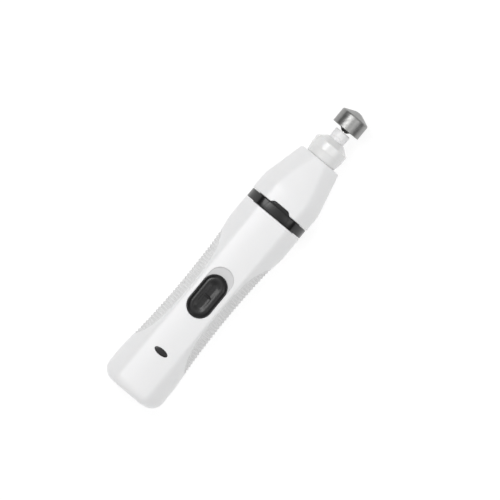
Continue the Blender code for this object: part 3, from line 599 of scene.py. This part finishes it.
def charge_mouth():
    """The rounded slot in the base where the charging plug goes in."""
    rings = []
    for offset, station in ((0.35, -1.0), (0.35, 0.0), (0.1, 0.1), (0.0, 0.35), (0.0, 3.0)):
        ring = []
        radius = MOUTH_HALF_HEIGHT + offset * MM
        for sign in (1, -1):
            for i in range(13):
                angle = math.pi * (i / 12 - 0.5)
                x = sign * (MOUTH_HALF_LENGTH - MOUTH_HALF_HEIGHT + radius * math.cos(angle))
                ring.append(place(x, station * MM, sign * radius * math.sin(angle)))
        rings.append(ring)
    return loft("cut_mouth", rings)


def switch_recess():
    """The slide's track, with a round rim and a soft inner corner."""
    first, last = SWITCH_START - SLIDE_GAP, SWITCH_END + SWITCH_TRAVEL + SLIDE_GAP
    outline = stadium(SWITCH_HALF_WIDTH + SLIDE_GAP, first, last)
    floor, soft, rim = BODY_HALF_DEPTH - RECESS_DEPTH, 0.15 * MM, 0.2 * MM
    levels = [(-inset, floor + drop) for inset, drop in reversed(quarter_arc(soft))]
    levels += [(inset, BODY_HALF_DEPTH - drop, True) for inset, drop in quarter_arc(rim)]
    levels.append((rim, BODY_HALF_DEPTH + MM))
    return upright("cut_recess", outline, levels)


def in_track(point):
    """True for a place on the floor or the wall of the slide's track, but not on its rim. These faces
    get the greyer painted shade.
    """
    station, depth = point.y - BASE, point.z - AXIS_HEIGHT
    margin = SLIDE_GAP + 0.01 * MM
    inside = abs(point.x) < SWITCH_HALF_WIDTH + margin
    first, last = SWITCH_START - margin, SWITCH_END + SWITCH_TRAVEL + margin
    under = BODY_HALF_DEPTH - crown_drop(point.x) - depth
    below_rim, below_floor = 0.12 * MM, RECESS_DEPTH + 0.1 * MM
    return inside and first < station < last and below_rim < under < below_floor


def lever_slot():
    """The slot in the track's floor that the slide's lever reaches through."""
    start, end = stations("switch_lever")
    first, last = start - LEVER_SLOT_MARGIN, end + SWITCH_TRAVEL + LEVER_SLOT_MARGIN
    outline = stadium(LEVER_SLOT_HALF_WIDTH, first, last, steps=12)
    return upright("cut_slot", outline, [(0.0, INSIDE_HANDLE), (0.0, BODY_HALF_DEPTH)])


def crisp_mouth(casing):
    """Keeps the shading of the flat base apart from the flared rim of the charging mouth."""
    mesh = casing.data
    wide, high = MOUTH_HALF_LENGTH + 0.7 * MM, MOUTH_HALF_HEIGHT + 0.55 * MM
    for edge in mesh.edges:
        ends = [mesh.vertices[i].co for i in edge.vertices]
        flush = all(p.y - BASE < 0.001 * MM for p in ends)
        near = all(abs(p.x) < wide and abs(p.z - AXIS_HEIGHT) < high for p in ends)
        if flush and near:
            edge.use_edge_sharp = True


def front_casing():
    """The half with the slide's track, the lens window and half of each grip's pocket."""
    casing = casing_blank("front_casing", 1)
    window = upright(
        "cut_window",
        ellipse(LENS_HALF_WIDTH + LENS_GAP, LENS_HALF_HEIGHT + LENS_GAP, LENS_STATION),
        rim_levels(INSIDE_HANDLE, BODY_HALF_DEPTH, 0.12 * MM, MM),
    )
    cutters = [grip_pocket("cut_left", -1), grip_pocket("cut_right", 1), charge_mouth()]
    cut(casing, [*cutters, window, switch_recess(), lever_slot()])
    crisp_mouth(casing)
    # Faces in the track get the second material, whose greyer colour is painted shade in the recess.
    for face in casing.data.polygons:
        if in_track(face.center):
            face.material_index = 1
    return casing


def screw_seat(name, station, face):
    """The cutter for a screw head's seat, with a flared rim."""
    rings = []
    for offset, depth in ((0.3, -1.0), (0.3, 0.0), (0.09, 0.09), (0.0, 0.3), (0.0, 1.1)):
        radius = SCREW_SEAT_RADIUS + offset * MM
        ring = [(radius * math.cos(a), station + radius * math.sin(a)) for a in circle_angles(48)]
        rings.append([place(x, s, face + depth * MM) for x, s in ring])
    return loft(name, rings)


def rear_casing():
    """The half that the tool lies on, with its two screw seats."""
    casing = casing_blank("rear_casing", -1)
    cutters = [grip_pocket("cut_left", -1), grip_pocket("cut_right", 1), charge_mouth()]
    for i in (1, 2):
        station = sum(stations(f"case_screw_{i}")) / 2
        face = -BODY_HALF_DEPTH
        outside, inside = place(0, station, face - MM), place(0, station, -5 * MM)
        cutters.append(rod(f"cut_hole_{i}", SCREW_HOLE_RADIUS, outside, inside))
        cutters.append(screw_seat(f"cut_seat_{i}", station, face))
    cut(casing, cutters)
    crisp_mouth(casing)
    return casing


def rib_profile(station):
    """How far the rubber drops between two crests, from 0 on a crest to 1 in a groove."""
    phase = (station - GRIP_START) / RIB_PITCH
    wave = 0.5 - 0.5 * math.cos(2 * math.pi * phase)
    return wave**1.3


def side_grip(name, sign):
    """A soft side grip with transverse ribs that fade out into a smooth border."""
    border, edge = 1.5 * MM, 0.3 * MM
    rings = []
    for station in grip_stations(RIB_PITCH / 10):
        half = grip_reach(station)
        to_end = min(station - GRIP_START, GRIP_END - station)
        steps = 18
        ring = []
        for i in range(2 * steps + 1):
            swing = math.sin(math.pi / 2 * (i / steps - 1))
            depth = half * swing
            inside = min(half - abs(depth), to_end * 1.2)
            fade = min(1.0, max(0.0, inside - 0.25 * border) / border)
            groove = RIB_DEPTH * rib_profile(station) * fade * fade * (3 - 2 * fade)
            near = max(0.0, 1 - inside / edge)
            rim = edge * (1 - math.sqrt(max(0.0, 1 - near**2)))
            ring.append(grip_side(station, depth, sign, groove + min(rim, 0.8 * edge)))
        inner = [grip_side(station, half * (1 - i / 8), sign, GRIP_THICKNESS) for i in range(17)]
        rings.append(ring + inner)
    return loft(name, rings, smooth_angle=50)


# ---------------------------------------------------------------- trim ring


def tab_outline(margin):
    """The ring's front tab, a low trapezoid with soft corners."""
    root, tip = 6.6 * MM + margin, 4.1 * MM + margin
    end = RING_START + RING_LENGTH
    low, high = end - 0.9 * MM, end + TAB_LENGTH + margin
    right = [(root, low)]
    bend = [(root + 0.4 * MM, end), (root - 0.5 * MM, end), (root - 1.0 * MM, end + 0.55 * MM)]
    right += curve_through(bend[0], bend[1], bend[2], 5)
    right += curve_through((tip + 0.55 * MM, high - 0.45 * MM), (tip, high), (tip - 0.9 * MM, high), 6)
    return right + [(-x, s) for x, s in reversed(right)]


def curve_through(first, corner, last, steps):
    """Points along a soft corner from first to last."""
    points = []
    for i in range(steps + 1):
        t = i / steps
        x = (1 - t) ** 2 * first[0] + 2 * t * (1 - t) * corner[0] + t**2 * last[0]
        y = (1 - t) ** 2 * first[1] + 2 * t * (1 - t) * corner[1] + t**2 * last[1]
        points.append((x, y))
    return points


def trim_ring():
    """The glossy ring with its tab joined on, bored through for the spigot."""

    def ring(station, inset):
        half, flat = RING_HALF_WIDTH - inset, PANEL_HALF_WIDTH - inset / 2
        return ring_of(station, half, flat, BODY_HALF_DEPTH - inset, EDGE_ROUNDING)

    end = RING_START + RING_LENGTH
    rounding = 0.35 * MM
    rings = [ring(RING_START + drop, inset) for inset, drop in reversed(quarter_arc(rounding))]
    rings += [ring(end - drop, inset) for inset, drop in quarter_arc(rounding)]
    body = loft("glossy_trim_ring", rings)
    levels = [(0.0, TAB_FLOOR)]
    levels += [(-inset, BODY_HALF_DEPTH - drop, True) for inset, drop in quarter_arc(0.25 * MM)]
    cut(body, [upright("add_tab", tab_outline, levels)], "UNION")
    bore = rod("cut_bore", RING_BORE, place(0, RING_START - MM, 0), place(0, end + MM, 0), 96)
    return cut(body, [bore])


# ---------------------------------------------------------------- switch and lens


def thumb_slide():
    """The slide button: a broad round rim round a shallow tray, with a low bump across its middle."""
    outline = stadium(SWITCH_HALF_WIDTH, SWITCH_START, SWITCH_END, steps=40)
    low = reach("slide_button", 2)[0] - AXIS_HEIGHT
    start = math.asin(1 - (SWITCH_TOP - low) / SWITCH_SHOULDER)
    lost = SWITCH_SHOULDER * (1 - math.cos(start))
    levels = []
    for angle in spread(start, math.pi / 2, 14):
        inset = SWITCH_SHOULDER * (1 - math.cos(angle)) - lost
        levels.append((-inset, SWITCH_TOP - SWITCH_SHOULDER * (1 - math.sin(angle))))
    for t in spread(0, 1, 16)[1:]:
        drop = TRAY_DEPTH * (1 - math.cos(math.pi * t)) / 2
        levels.append((-(TRAY_RIM + (TRAY_FLOOR - TRAY_RIM) * t), SWITCH_TOP - drop))
    body = upright("thumb_slide", outline, levels)
    return cut(body, [slide_bump()], "UNION")


def slide_bump():
    """The low bump between the two finger dishes."""
    floor = SWITCH_TOP - TRAY_DEPTH
    under = floor - 0.5 * MM
    middle = sum(stations("switch_lever")) / 2
    half_long, half_wide, height, root = 3.3 * MM, 1.15 * MM, 0.42 * MM, 0.2 * MM
    rings = []
    for x in spread(-half_long, half_long, 20):
        rise = height * math.sqrt(1 - (0.96 * x / half_long) ** 2) + root
        ring = [place(x, middle + half_wide, under), place(x, middle - half_wide, under)]
        for s in spread(-half_wide, half_wide, 14):
            swell = math.cos(math.pi / 2 * s / half_wide) ** 2
            ring.append(place(x, middle + s, floor - root + rise * swell))
        rings.append(ring)
    return loft("add_bump", rings)


def indicator_window():
    """The smoked lens over the charge light, very slightly domed."""
    outline = ellipse(LENS_HALF_WIDTH, LENS_HALF_HEIGHT, LENS_STATION)
    low = reach("indicator_lens", 2)[0] - AXIS_HEIGHT
    top = BODY_HALF_DEPTH
    rim = ((0.0, 0.22), (0.03, 0.15), (0.1, 0.09), (0.25, 0.05), (0.6, 0.02), (1.1, 0.0))
    levels = [(0.0, low)] + [(-inset * MM, top - drop * MM, True) for inset, drop in rim]
    return upright("indicator_window", outline, levels)


# ---------------------------------------------------------------- head


def head_casing():
    """The head's shell, open at the ring, with a round mouth for the collar and a notch for the tab."""
    edge, top_edge = 0.25 * MM, 0.8 * MM
    outer = []
    for inset, drop in reversed(quarter_arc(edge)):
        outer.append(head_ring(HEAD_START + drop, inset))
    for station in spread(HEAD_START + 1.2 * MM, HEAD_END - top_edge - 0.6 * MM, 28):
        outer.append(head_ring(station))
    for inset, drop in quarter_arc(top_edge, 7):
        outer.append(head_ring(HEAD_END - drop, inset))
    casing = loft("head_casing", outer)
    inner_stations = [HEAD_START - MM, *spread(HEAD_START + MM, HEAD_END - 2 * MM, 10)]
    hollow = loft("cut_hollow", [head_ring(s, HEAD_WALL) for s in inner_stations])
    first, last = place(0, HEAD_END - 5 * MM, 0), place(0, HEAD_END + MM, 0)
    mouth = rod("cut_mouth", HEAD_MOUTH_RADIUS, first, last, 96)
    levels = rim_levels(INSIDE_HEAD, BODY_HALF_DEPTH, 0.2 * MM, MM)
    notch = upright("cut_notch", lambda offset: tab_outline(TAB_GAP + offset), levels)
    return cut(casing, [hollow, mouth, notch])


def nose_collar_profile():
    """The nose collar: a cone down to the neck over a straight band, with a bearing seat inside."""
    seat, seat_start, seat_end = BEARING_SEAT
    foot = HEAD_END + COLLAR_GAP
    return rounded(
        [
            (SLEEVE_RADIUS + 0.7 * MM, COLLAR_END, 0.25 * MM),
            (8.3 * MM, COLLAR_END - 2.6 * MM, 0.5 * MM),
            (COLLAR_RADIUS, COLLAR_END - 3.1 * MM, 0.5 * MM),
            (COLLAR_RADIUS, HEAD_END + 4.7 * MM, 0.4 * MM),
            (COLLAR_RADIUS - 0.2 * MM, HEAD_END + 4.1 * MM, 0.3 * MM),
            (COLLAR_RADIUS - 0.8 * MM, foot, 0.3 * MM),
            (COLLAR_SPIGOT_RADIUS, foot, 0),
            (COLLAR_SPIGOT_RADIUS, seat_start, 0),
            (seat, seat_start, 0),
            (seat, seat_end, 0),
            (SLEEVE_RADIUS + 0.3 * MM, seat_end, 0),
            (SLEEVE_RADIUS + 0.3 * MM, COLLAR_END, 0.15 * MM),
        ],
        0.2 * MM,
    )


def neck_sleeve_profile():
    """The neck's sleeve, with a shallow groove near its end and a countersunk mouth."""
    start, end = stations("spindle_sleeve")
    return rounded(
        [
            (SLEEVE_RADIUS, end, 0.5 * MM),
            (SLEEVE_RADIUS, end - 3.6 * MM, 0.1 * MM),
            (SLEEVE_RADIUS - 0.18 * MM, end - 3.75 * MM, 0.1 * MM),
            (SLEEVE_RADIUS - 0.18 * MM, end - 4.15 * MM, 0.1 * MM),
            (SLEEVE_RADIUS, end - 4.3 * MM, 0.1 * MM),
            (SLEEVE_RADIUS, start, 0.2 * MM),
            (SHAFT_HOLE, start, 0),
            (SHAFT_HOLE, end - 0.9 * MM, 0),
            (SHAFT_HOLE + 0.9 * MM, end, 0.15 * MM),
        ],
        0.2 * MM,
    )


def drum_profile():
    """The drum: a low cone on its end, a straight grinding face and a conical hub under it."""
    face = DRUM_START + 1.35 * MM
    shoulder = DRUM_END - 2.6 * MM
    return rounded(
        [
            (0, DRUM_END),
            (1.6 * MM, DRUM_END - 0.1 * MM, 0.9 * MM),
            (DRUM_RADIUS - 0.25 * MM, shoulder, 0.45 * MM),
            (DRUM_RADIUS, shoulder - 0.7 * MM, 0.45 * MM),
            (DRUM_RADIUS, face + 0.1 * MM, 0.35 * MM),
            (DRUM_RADIUS - 0.1 * MM, face, 0.2 * MM),
            (3.0 * MM, face, 0.25 * MM),
            (DRUM_HOLE + 0.3 * MM, DRUM_START, 0.1 * MM),
            (DRUM_HOLE, DRUM_START, 0),
            (DRUM_HOLE, DRUM_START + DRUM_HOLE_DEPTH, 0),
            (0, DRUM_START + DRUM_HOLE_DEPTH),
        ],
        0.2 * MM,
    )


# ---------------------------------------------------------------- materials


class Nodes:
    """A short way to wire a material's nodes."""

    def __init__(self, name):
        self.material = bpy.data.materials.new(name)
        self.material.use_nodes = True
        self.tree = self.material.node_tree
        self.shader = self.tree.nodes["Principled BSDF"]
        coordinates = self.tree.nodes.new("ShaderNodeTexCoord")
        self.where = coordinates.outputs["Object"]

    def link(self, output, target):
        self.tree.links.new(output, target)

    def stretched(self, scale):
        mapping = self.tree.nodes.new("ShaderNodeMapping")
        mapping.inputs["Scale"].default_value = scale
        self.link(self.where, mapping.inputs["Vector"])
        return mapping.outputs["Vector"]

    def noise(self, size, detail=3.0, stretch=None):
        """Noise whose features are about `size` metres across."""
        node = self.tree.nodes.new("ShaderNodeTexNoise")
        node.inputs["Scale"].default_value = 1 / size
        node.inputs["Detail"].default_value = detail
        self.link(self.stretched(stretch) if stretch else self.where, node.inputs["Vector"])
        return node.outputs["Fac"]

    def between(self, value, low, high):
        """Maps a noise value, which mostly lies from 0.3 to 0.7, to a range."""
        node = self.tree.nodes.new("ShaderNodeMapRange")
        node.inputs["From Min"].default_value = 0.3
        node.inputs["From Max"].default_value = 0.7
        node.inputs["To Min"].default_value = low
        node.inputs["To Max"].default_value = high
        self.link(value, node.inputs["Value"])
        return node.outputs["Result"]

    def mix(self, value, first, second):
        node = self.tree.nodes.new("ShaderNodeMix")
        node.data_type = "RGBA"
        node.inputs["A"].default_value = (*first, 1)
        node.inputs["B"].default_value = (*second, 1)
        self.link(value, node.inputs["Factor"])
        return node.outputs["Result"]

    def bump(self, height, distance):
        node = self.tree.nodes.new("ShaderNodeBump")
        node.inputs["Distance"].default_value = distance
        self.link(height, node.inputs["Height"])
        return node.outputs["Normal"]


def moulded(
    name,
    colour,
    roughness,
    grain=0.25 * MM,
    grain_depth=0.006 * MM,
    tint=0.02,
    coat=0.0,
    uneven=0.03,
):
    """Moulded plastic: faint mottling, an uneven gloss and a fine grain.

    The tint is how much darker the mottling goes, and the gloss varies by `uneven` each way.
    """
    n = Nodes(name)
    dark = tuple(max(0.0, c * (1 - tint)) for c in colour)
    n.link(n.mix(n.between(n.noise(7 * MM), 0, 1), dark, colour), n.shader.inputs["Base Color"])
    rough = n.between(n.noise(1.8 * MM, 4.0), roughness - uneven, roughness + uneven)
    n.link(rough, n.shader.inputs["Roughness"])
    n.link(n.bump(n.noise(grain, 2.0), grain_depth), n.shader.inputs["Normal"])
    n.shader.inputs["Coat Weight"].default_value = coat
    n.shader.inputs["Coat Roughness"].default_value = 0.08
    return n


def white_shell_material():
    n = moulded(
        "white_plastic_moulded",
        (0.88, 0.88, 0.885),
        roughness=0.31,
        grain_depth=0.0015 * MM,
        tint=0.008,
        uneven=0.015,
    )
    n.shader.inputs["Subsurface Weight"].default_value = 0.12
    n.shader.inputs["Subsurface Radius"].default_value = (1.0, 0.95, 0.9)
    n.shader.inputs["Subsurface Scale"].default_value = 0.8 * MM
    n.shader.inputs["Specular IOR Level"].default_value = 0.5
    return n.material


def track_matt_painted_shade_material():
    """The white plastic in the slide's track: a matt finish, with a greyer colour that is painted shade
    for the recess.
    """
    n = moulded("white_plastic_track_painted_shade", (0.69, 0.69, 0.695), 0.5, grain_depth=0.006 * MM)
    n.shader.inputs["Specular IOR Level"].default_value = 0.3
    return n.material


def rubber_material(name, colour, roughness=0.62):
    """Soft-touch rubber: matt, with a fine pebbled grain."""
    n = moulded(name, colour, roughness, grain=0.18 * MM, grain_depth=0.012 * MM, tint=0.05)
    n.shader.inputs["Specular IOR Level"].default_value = 0.2
    return n.material


def gloss_black_material(name):
    """Polished black plastic with the slight waviness of a moulded gloss face."""
    n = Nodes(name)
    colour = n.mix(n.between(n.noise(5 * MM), 0, 1), (0.004, 0.004, 0.0045), (0.007, 0.007, 0.0075))
    n.link(colour, n.shader.inputs["Base Color"])
    n.link(n.between(n.noise(2.5 * MM, 5.0), 0.19, 0.26), n.shader.inputs["Roughness"])
    n.link(n.bump(n.noise(3 * MM, 1.0), 0.008 * MM), n.shader.inputs["Normal"])
    n.shader.inputs["Specular IOR Level"].default_value = 0.42
    return n.material


def switch_material():
    n = moulded("black_slide_plastic", (0.007, 0.007, 0.0075), 0.235, 0.2 * MM, 0.004 * MM, 0.3)
    n.shader.inputs["Specular IOR Level"].default_value = 0.39
    return n.material


def nose_material():
    """Glossy, slightly translucent white plastic."""
    n = moulded("nose_glossy_white", (0.83, 0.83, 0.825), 0.22, 0.5 * MM, 0.002 * MM, 0.02, coat=0.25)
    n.shader.inputs["Subsurface Weight"].default_value = 0.35
    n.shader.inputs["Subsurface Radius"].default_value = (1.0, 0.97, 0.92)
    n.shader.inputs["Subsurface Scale"].default_value = 1.6 * MM
    return n.material


def metal(name, colour, roughness, streak=(1, 1, 1), streak_depth=0.002 * MM):
    """Metal with fine working marks; streak stretches them along an axis."""
    n = Nodes(name)
    uneven = 0.06
    marks = n.noise(0.12 * MM, 4.0, streak)
    dark = tuple(c * 0.86 for c in colour)
    n.link(n.mix(n.between(marks, 0, 1), dark, colour), n.shader.inputs["Base Color"])
    n.shader.inputs["Metallic"].default_value = 1.0
    worn = n.between(n.noise(1.5 * MM, 4.0), roughness - uneven, roughness + uneven)
    n.link(worn, n.shader.inputs["Roughness"])
    n.link(n.bump(marks, streak_depth), n.shader.inputs["Normal"])
    return n


def drum_material():
    """Satin steel, finely ground round the drum."""
    n = metal("drum_satin_steel", (0.33, 0.33, 0.325), 0.37, (0.08, 1, 0.08), 0.0015 * MM)
    return n.material


def copper_material():
    return metal("copper_windings", (0.74, 0.38, 0.22), 0.34, (1, 0.1, 1), 0.004 * MM).material


def board_material():
    """Green solder mask with faint copper tracks under it."""
    n = Nodes("board_solder_mask")
    brick = n.tree.nodes.new("ShaderNodeTexBrick")
    brick.inputs["Scale"].default_value = 260
    brick.inputs["Mortar Size"].default_value = 0.03
    brick.inputs["Color1"].default_value = (0.012, 0.11, 0.035, 1)
    brick.inputs["Color2"].default_value = (0.016, 0.14, 0.045, 1)
    brick.inputs["Mortar"].default_value = (0.05, 0.26, 0.09, 1)
    n.link(n.where, brick.inputs["Vector"])
    n.link(brick.outputs["Color"], n.shader.inputs["Base Color"])
    n.link(n.between(n.noise(1 * MM), 0.30, 0.38), n.shader.inputs["Roughness"])
    n.link(n.bump(brick.outputs["Fac"], 0.02 * MM), n.shader.inputs["Normal"])
    return n.material


def battery_material():
    """Glossy blue shrink wrap."""
    return moulded("battery_shrink_wrap", (0.04, 0.15, 0.42), 0.22, tint=0.15, coat=0.4).material


def ferrite_material():
    """Dark sintered magnet, coarser than plastic."""
    return moulded("magnet_ferrite", (0.09, 0.09, 0.10), 0.55, 0.1 * MM, 0.01 * MM, 0.3).material


def clear_material():
    """The charge light's clear resin."""
    n = moulded("led_clear_resin", (0.82, 0.87, 0.92), 0.08, tint=0.02)
    n.shader.inputs["Transmission Weight"].default_value = 0.6
    n.shader.inputs["IOR"].default_value = 1.5
    return n.material


def all_materials():
    """One material for each of the record's slots."""
    return {
        "white_plastic": white_shell_material(),
        "grip_rubber": rubber_material("grip_soft_rubber", (0.825, 0.825, 0.825)),
        "ring_black": gloss_black_material("ring_polished_black"),
        "switch_black": switch_material(),
        "lens_black": gloss_black_material("lens_smoked"),
        "led_clear": clear_material(),
        "nose_plastic": nose_material(),
        "inner_plastic": moulded("inner_as_moulded", (0.70, 0.70, 0.69), 0.5, tint=0.04).material,
        "black_plastic": moulded("black_as_moulded", (0.03, 0.03, 0.032), 0.45, tint=0.2).material,
        "black_rubber": rubber_material("seal_black_rubber", (0.03, 0.03, 0.03), 0.75),
        "drum_steel": drum_material(),
        "polished_steel": metal("shaft_polished_steel", (0.66, 0.65, 0.64), 0.14, (1, 0.05, 1)).material,
        "plated_steel": metal("nickel_plated_steel", (0.68, 0.65, 0.60), 0.36).material,
        "copper": copper_material(),
        "brass": metal("tag_brass", (0.80, 0.62, 0.30), 0.36).material,
        "board_green": board_material(),
        "battery_wrap": battery_material(),
        "lead_red": moulded("lead_red_pvc", (0.58, 0.02, 0.02), 0.4, tint=0.1).material,
        "lead_black": moulded("lead_black_pvc", (0.02, 0.02, 0.02), 0.4, tint=0.3).material,
        "ferrite": ferrite_material(),
    }


# ---------------------------------------------------------------- assembly


def wear(obj, *materials):
    """Gives an object its materials, and keeps each face's place in the list."""
    places = [face.material_index for face in obj.data.polygons]
    obj.data.materials.clear()
    for material in materials:
        obj.data.materials.append(material)
    obj.data.polygons.foreach_set("material_index", places)


def stand_for(piece, body, slot, node, *materials):
    """Puts a finished piece on its body in place of its CAD node."""
    wear(piece, *materials)
    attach(piece, body)
    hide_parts(node)


def dress_cad_nodes(materials):
    """Gives every CAD node the material of its slot in the record."""
    for entry in frame["record"]["subparts"]:
        node = frame["nodes"][entry["node"]]
        material = materials[entry["material_slot"]]
        if not node.material_slots:
            node.data.materials.append(material)
        for held in node.material_slots:
            held.material = material


def nose_collar():
    return turned("nose_collar_turned", nose_collar_profile(), 128)


def neck_sleeve():
    return turned("neck_sleeve", neck_sleeve_profile())


def grinding_drum():
    return turned("drum_turned", drum_profile(), 128, 25)


def build_pieces(materials):
    """Makes each outside piece, with its body, its material slot and the CAD node it stands for."""
    made = (
        (front_casing(), "handle", "white_plastic", "front_shell"),
        (rear_casing(), "handle", "white_plastic", "rear_shell"),
        (side_grip("left_side_grip", -1), "handle", "grip_rubber", "left_grip"),
        (side_grip("right_side_grip", 1), "handle", "grip_rubber", "right_grip"),
        (trim_ring(), "handle", "ring_black", "trim_ring"),
        (indicator_window(), "handle", "lens_black", "indicator_lens"),
        (thumb_slide(), "switch", "switch_black", "slide_button"),
        (head_casing(), "head", "white_plastic", "head_shell"),
        (nose_collar(), "head", "nose_plastic", "nose_collar"),
        (neck_sleeve(), "spindle", "white_plastic", "spindle_sleeve"),
        (grinding_drum(), "spindle", "drum_steel", "grinding_drum"),
    )
    for piece, body, slot, node in made:
        # The front casing's track faces get a second material that is greyer, as painted shade.
        extra = [track_matt_painted_shade_material()] if node == "front_shell" else []
        stand_for(piece, body, slot, node, materials[slot], *extra)


# ---------------------------------------------------------------- floor, light and camera


def floor():
    """A plain pale sweep that the tool lies on."""
    form = bmesh.new()
    bmesh.ops.create_circle(form, cap_ends=True, segments=96, radius=2.5)
    mesh = bpy.data.meshes.new("studio_floor")
    form.to_mesh(mesh)
    form.free()
    obj = bpy.data.objects.new("studio_floor", mesh)
    obj.location.z = CAD_BOX[0].z - 0.02 * MM
    bpy.context.scene.collection.objects.link(obj)
    n = Nodes("studio_white")
    shade = n.mix(n.between(n.noise(0.15), 0, 1), (0.34, 0.34, 0.34), (0.36, 0.36, 0.36))
    n.link(shade, n.shader.inputs["Base Color"])
    n.shader.inputs["Roughness"].default_value = 0.9
    n.shader.inputs["Specular IOR Level"].default_value = 0.1
    n.shader.inputs["Emission Color"].default_value = (1, 1, 1, 1)
    # The floor glows, most strongly within a short way of the tool: painted light that fills in the
    # tool's shadow on it.
    away = n.tree.nodes.new("ShaderNodeVectorMath")
    away.operation = "LENGTH"
    n.link(n.where, away.inputs[0])
    glow = n.tree.nodes.new("ShaderNodeMapRange")
    for socket, value in (("From Min", 0.16), ("From Max", 0.7), ("To Min", 0.74), ("To Max", 0.48)):
        glow.inputs[socket].default_value = value
    n.link(away.outputs["Value"], glow.inputs["Value"])
    n.link(glow.outputs["Result"], n.shader.inputs["Emission Strength"])
    obj.data.materials.append(n.material)


def area_light(name, location, target, size, power):
    data = bpy.data.lights.new(name, "AREA")
    data.shape = "RECTANGLE"
    data.size, data.size_y = size
    data.energy = power
    obj = bpy.data.objects.new(name, data)
    bpy.context.scene.collection.objects.link(obj)
    obj.location = location
    obj.rotation_euler = (Vector(target) - Vector(location)).to_track_quat("-Z", "Y").to_euler()
    return obj


def lights():
    """A soft key high over the tool's left side, and a weaker one over its right."""
    middle = (0, 0, AXIS_HEIGHT)
    area_light("key_softbox", (-0.55, 0.15, 1.09), middle, (0.38, 0.65), 3.9)
    area_light("fill_softbox", (0.64, 0.15, 1.01), middle, (0.25, 0.9), 0.95)


# Brightness of the studio's surroundings against the X and the Y of the direction looked in
ACROSS = (
    (-1.0, 0.05),
    (-0.8, 0.12),
    (-0.5, 0.30),
    (-0.38, 0.66),
    (-0.3, 0.70),
    (-0.14, 0.80),
    (0.0, 0.56),
    (0.14, 0.42),
    (0.3, 0.34),
    (0.4, 0.52),
    (0.52, 0.50),
    (0.65, 0.30),
    (0.85, 0.18),
    (1.0, 0.05),
)
ALONG = (
    (-1.0, 0.55),
    (-0.7, 0.60),
    (-0.35, 0.75),
    (0.0, 1.0),
    (0.35, 1.0),
    (0.7, 0.70),
    (1.0, 0.35),
)


def graded(tree, value, levels):
    """A brightness that follows (value, level) pairs."""
    shift = tree.nodes.new("ShaderNodeMapRange")
    shift.inputs["From Min"].default_value = -1
    tree.links.new(value, shift.inputs["Value"])
    ramp = tree.nodes.new("ShaderNodeValToRGB")
    stops = ramp.color_ramp.elements
    while len(stops) < len(levels):
        stops.new(0.5)
    for stop, (place_on, level) in zip(stops, levels):
        stop.position = (place_on + 1) / 2
        stop.color = (level, level, level, 1)
    tree.links.new(shift.outputs["Result"], ramp.inputs["Fac"])
    return ramp.outputs["Color"]


def world():
    """Surroundings that are brightest overhead, a little to the left, and fall off low down."""
    scene_world = bpy.data.worlds.new("studio_air")
    scene_world.use_nodes = True
    tree = scene_world.node_tree
    direction = tree.nodes.new("ShaderNodeTexCoord")
    split = tree.nodes.new("ShaderNodeSeparateXYZ")
    tree.links.new(direction.outputs["Generated"], split.inputs["Vector"])
    product = tree.nodes.new("ShaderNodeMix")
    product.data_type = "RGBA"
    product.blend_type = "MULTIPLY"
    product.inputs["Factor"].default_value = 1
    tree.links.new(graded(tree, split.outputs["X"], ACROSS), product.inputs["A"])
    tree.links.new(graded(tree, split.outputs["Y"], ALONG), product.inputs["B"])
    background = tree.nodes["Background"]
    background.inputs["Strength"].default_value = 2.0
    tree.links.new(product.outputs["Result"], background.inputs["Color"])
    bpy.context.scene.world = scene_world


def camera():
    """Looks straight down with a long lens, the tool turned 39.7 degrees in the picture."""
    tilt = math.radians(39.7)
    frame_width = 245.0 * MM
    distance = 6.0
    right = Vector((math.cos(tilt), math.sin(tilt), 0))
    up = Vector((-math.sin(tilt), math.cos(tilt), 0))
    data = bpy.data.cameras.new("photo_camera")
    data.sensor_width = 36
    data.lens = data.sensor_width * distance / frame_width
    data.clip_start, data.clip_end = 0.05, 20
    obj = bpy.data.objects.new("photo_camera", data)
    bpy.context.scene.collection.objects.link(obj)
    aim = right * (3.3 * MM) + up * (1.4 * MM)
    obj.location = aim + Vector((0, 0, AXIS_HEIGHT + distance))
    obj.rotation_euler = (0, 0, tilt)
    bpy.context.scene.camera = obj


def colour_management():
    view = bpy.context.scene.view_settings
    view.view_transform = "Standard"
    view.look = "None"
    view.exposure = 0.0


materials = all_materials()
dress_cad_nodes(materials)
build_pieces(materials)
floor()
lights()
world()
camera()
colour_management()
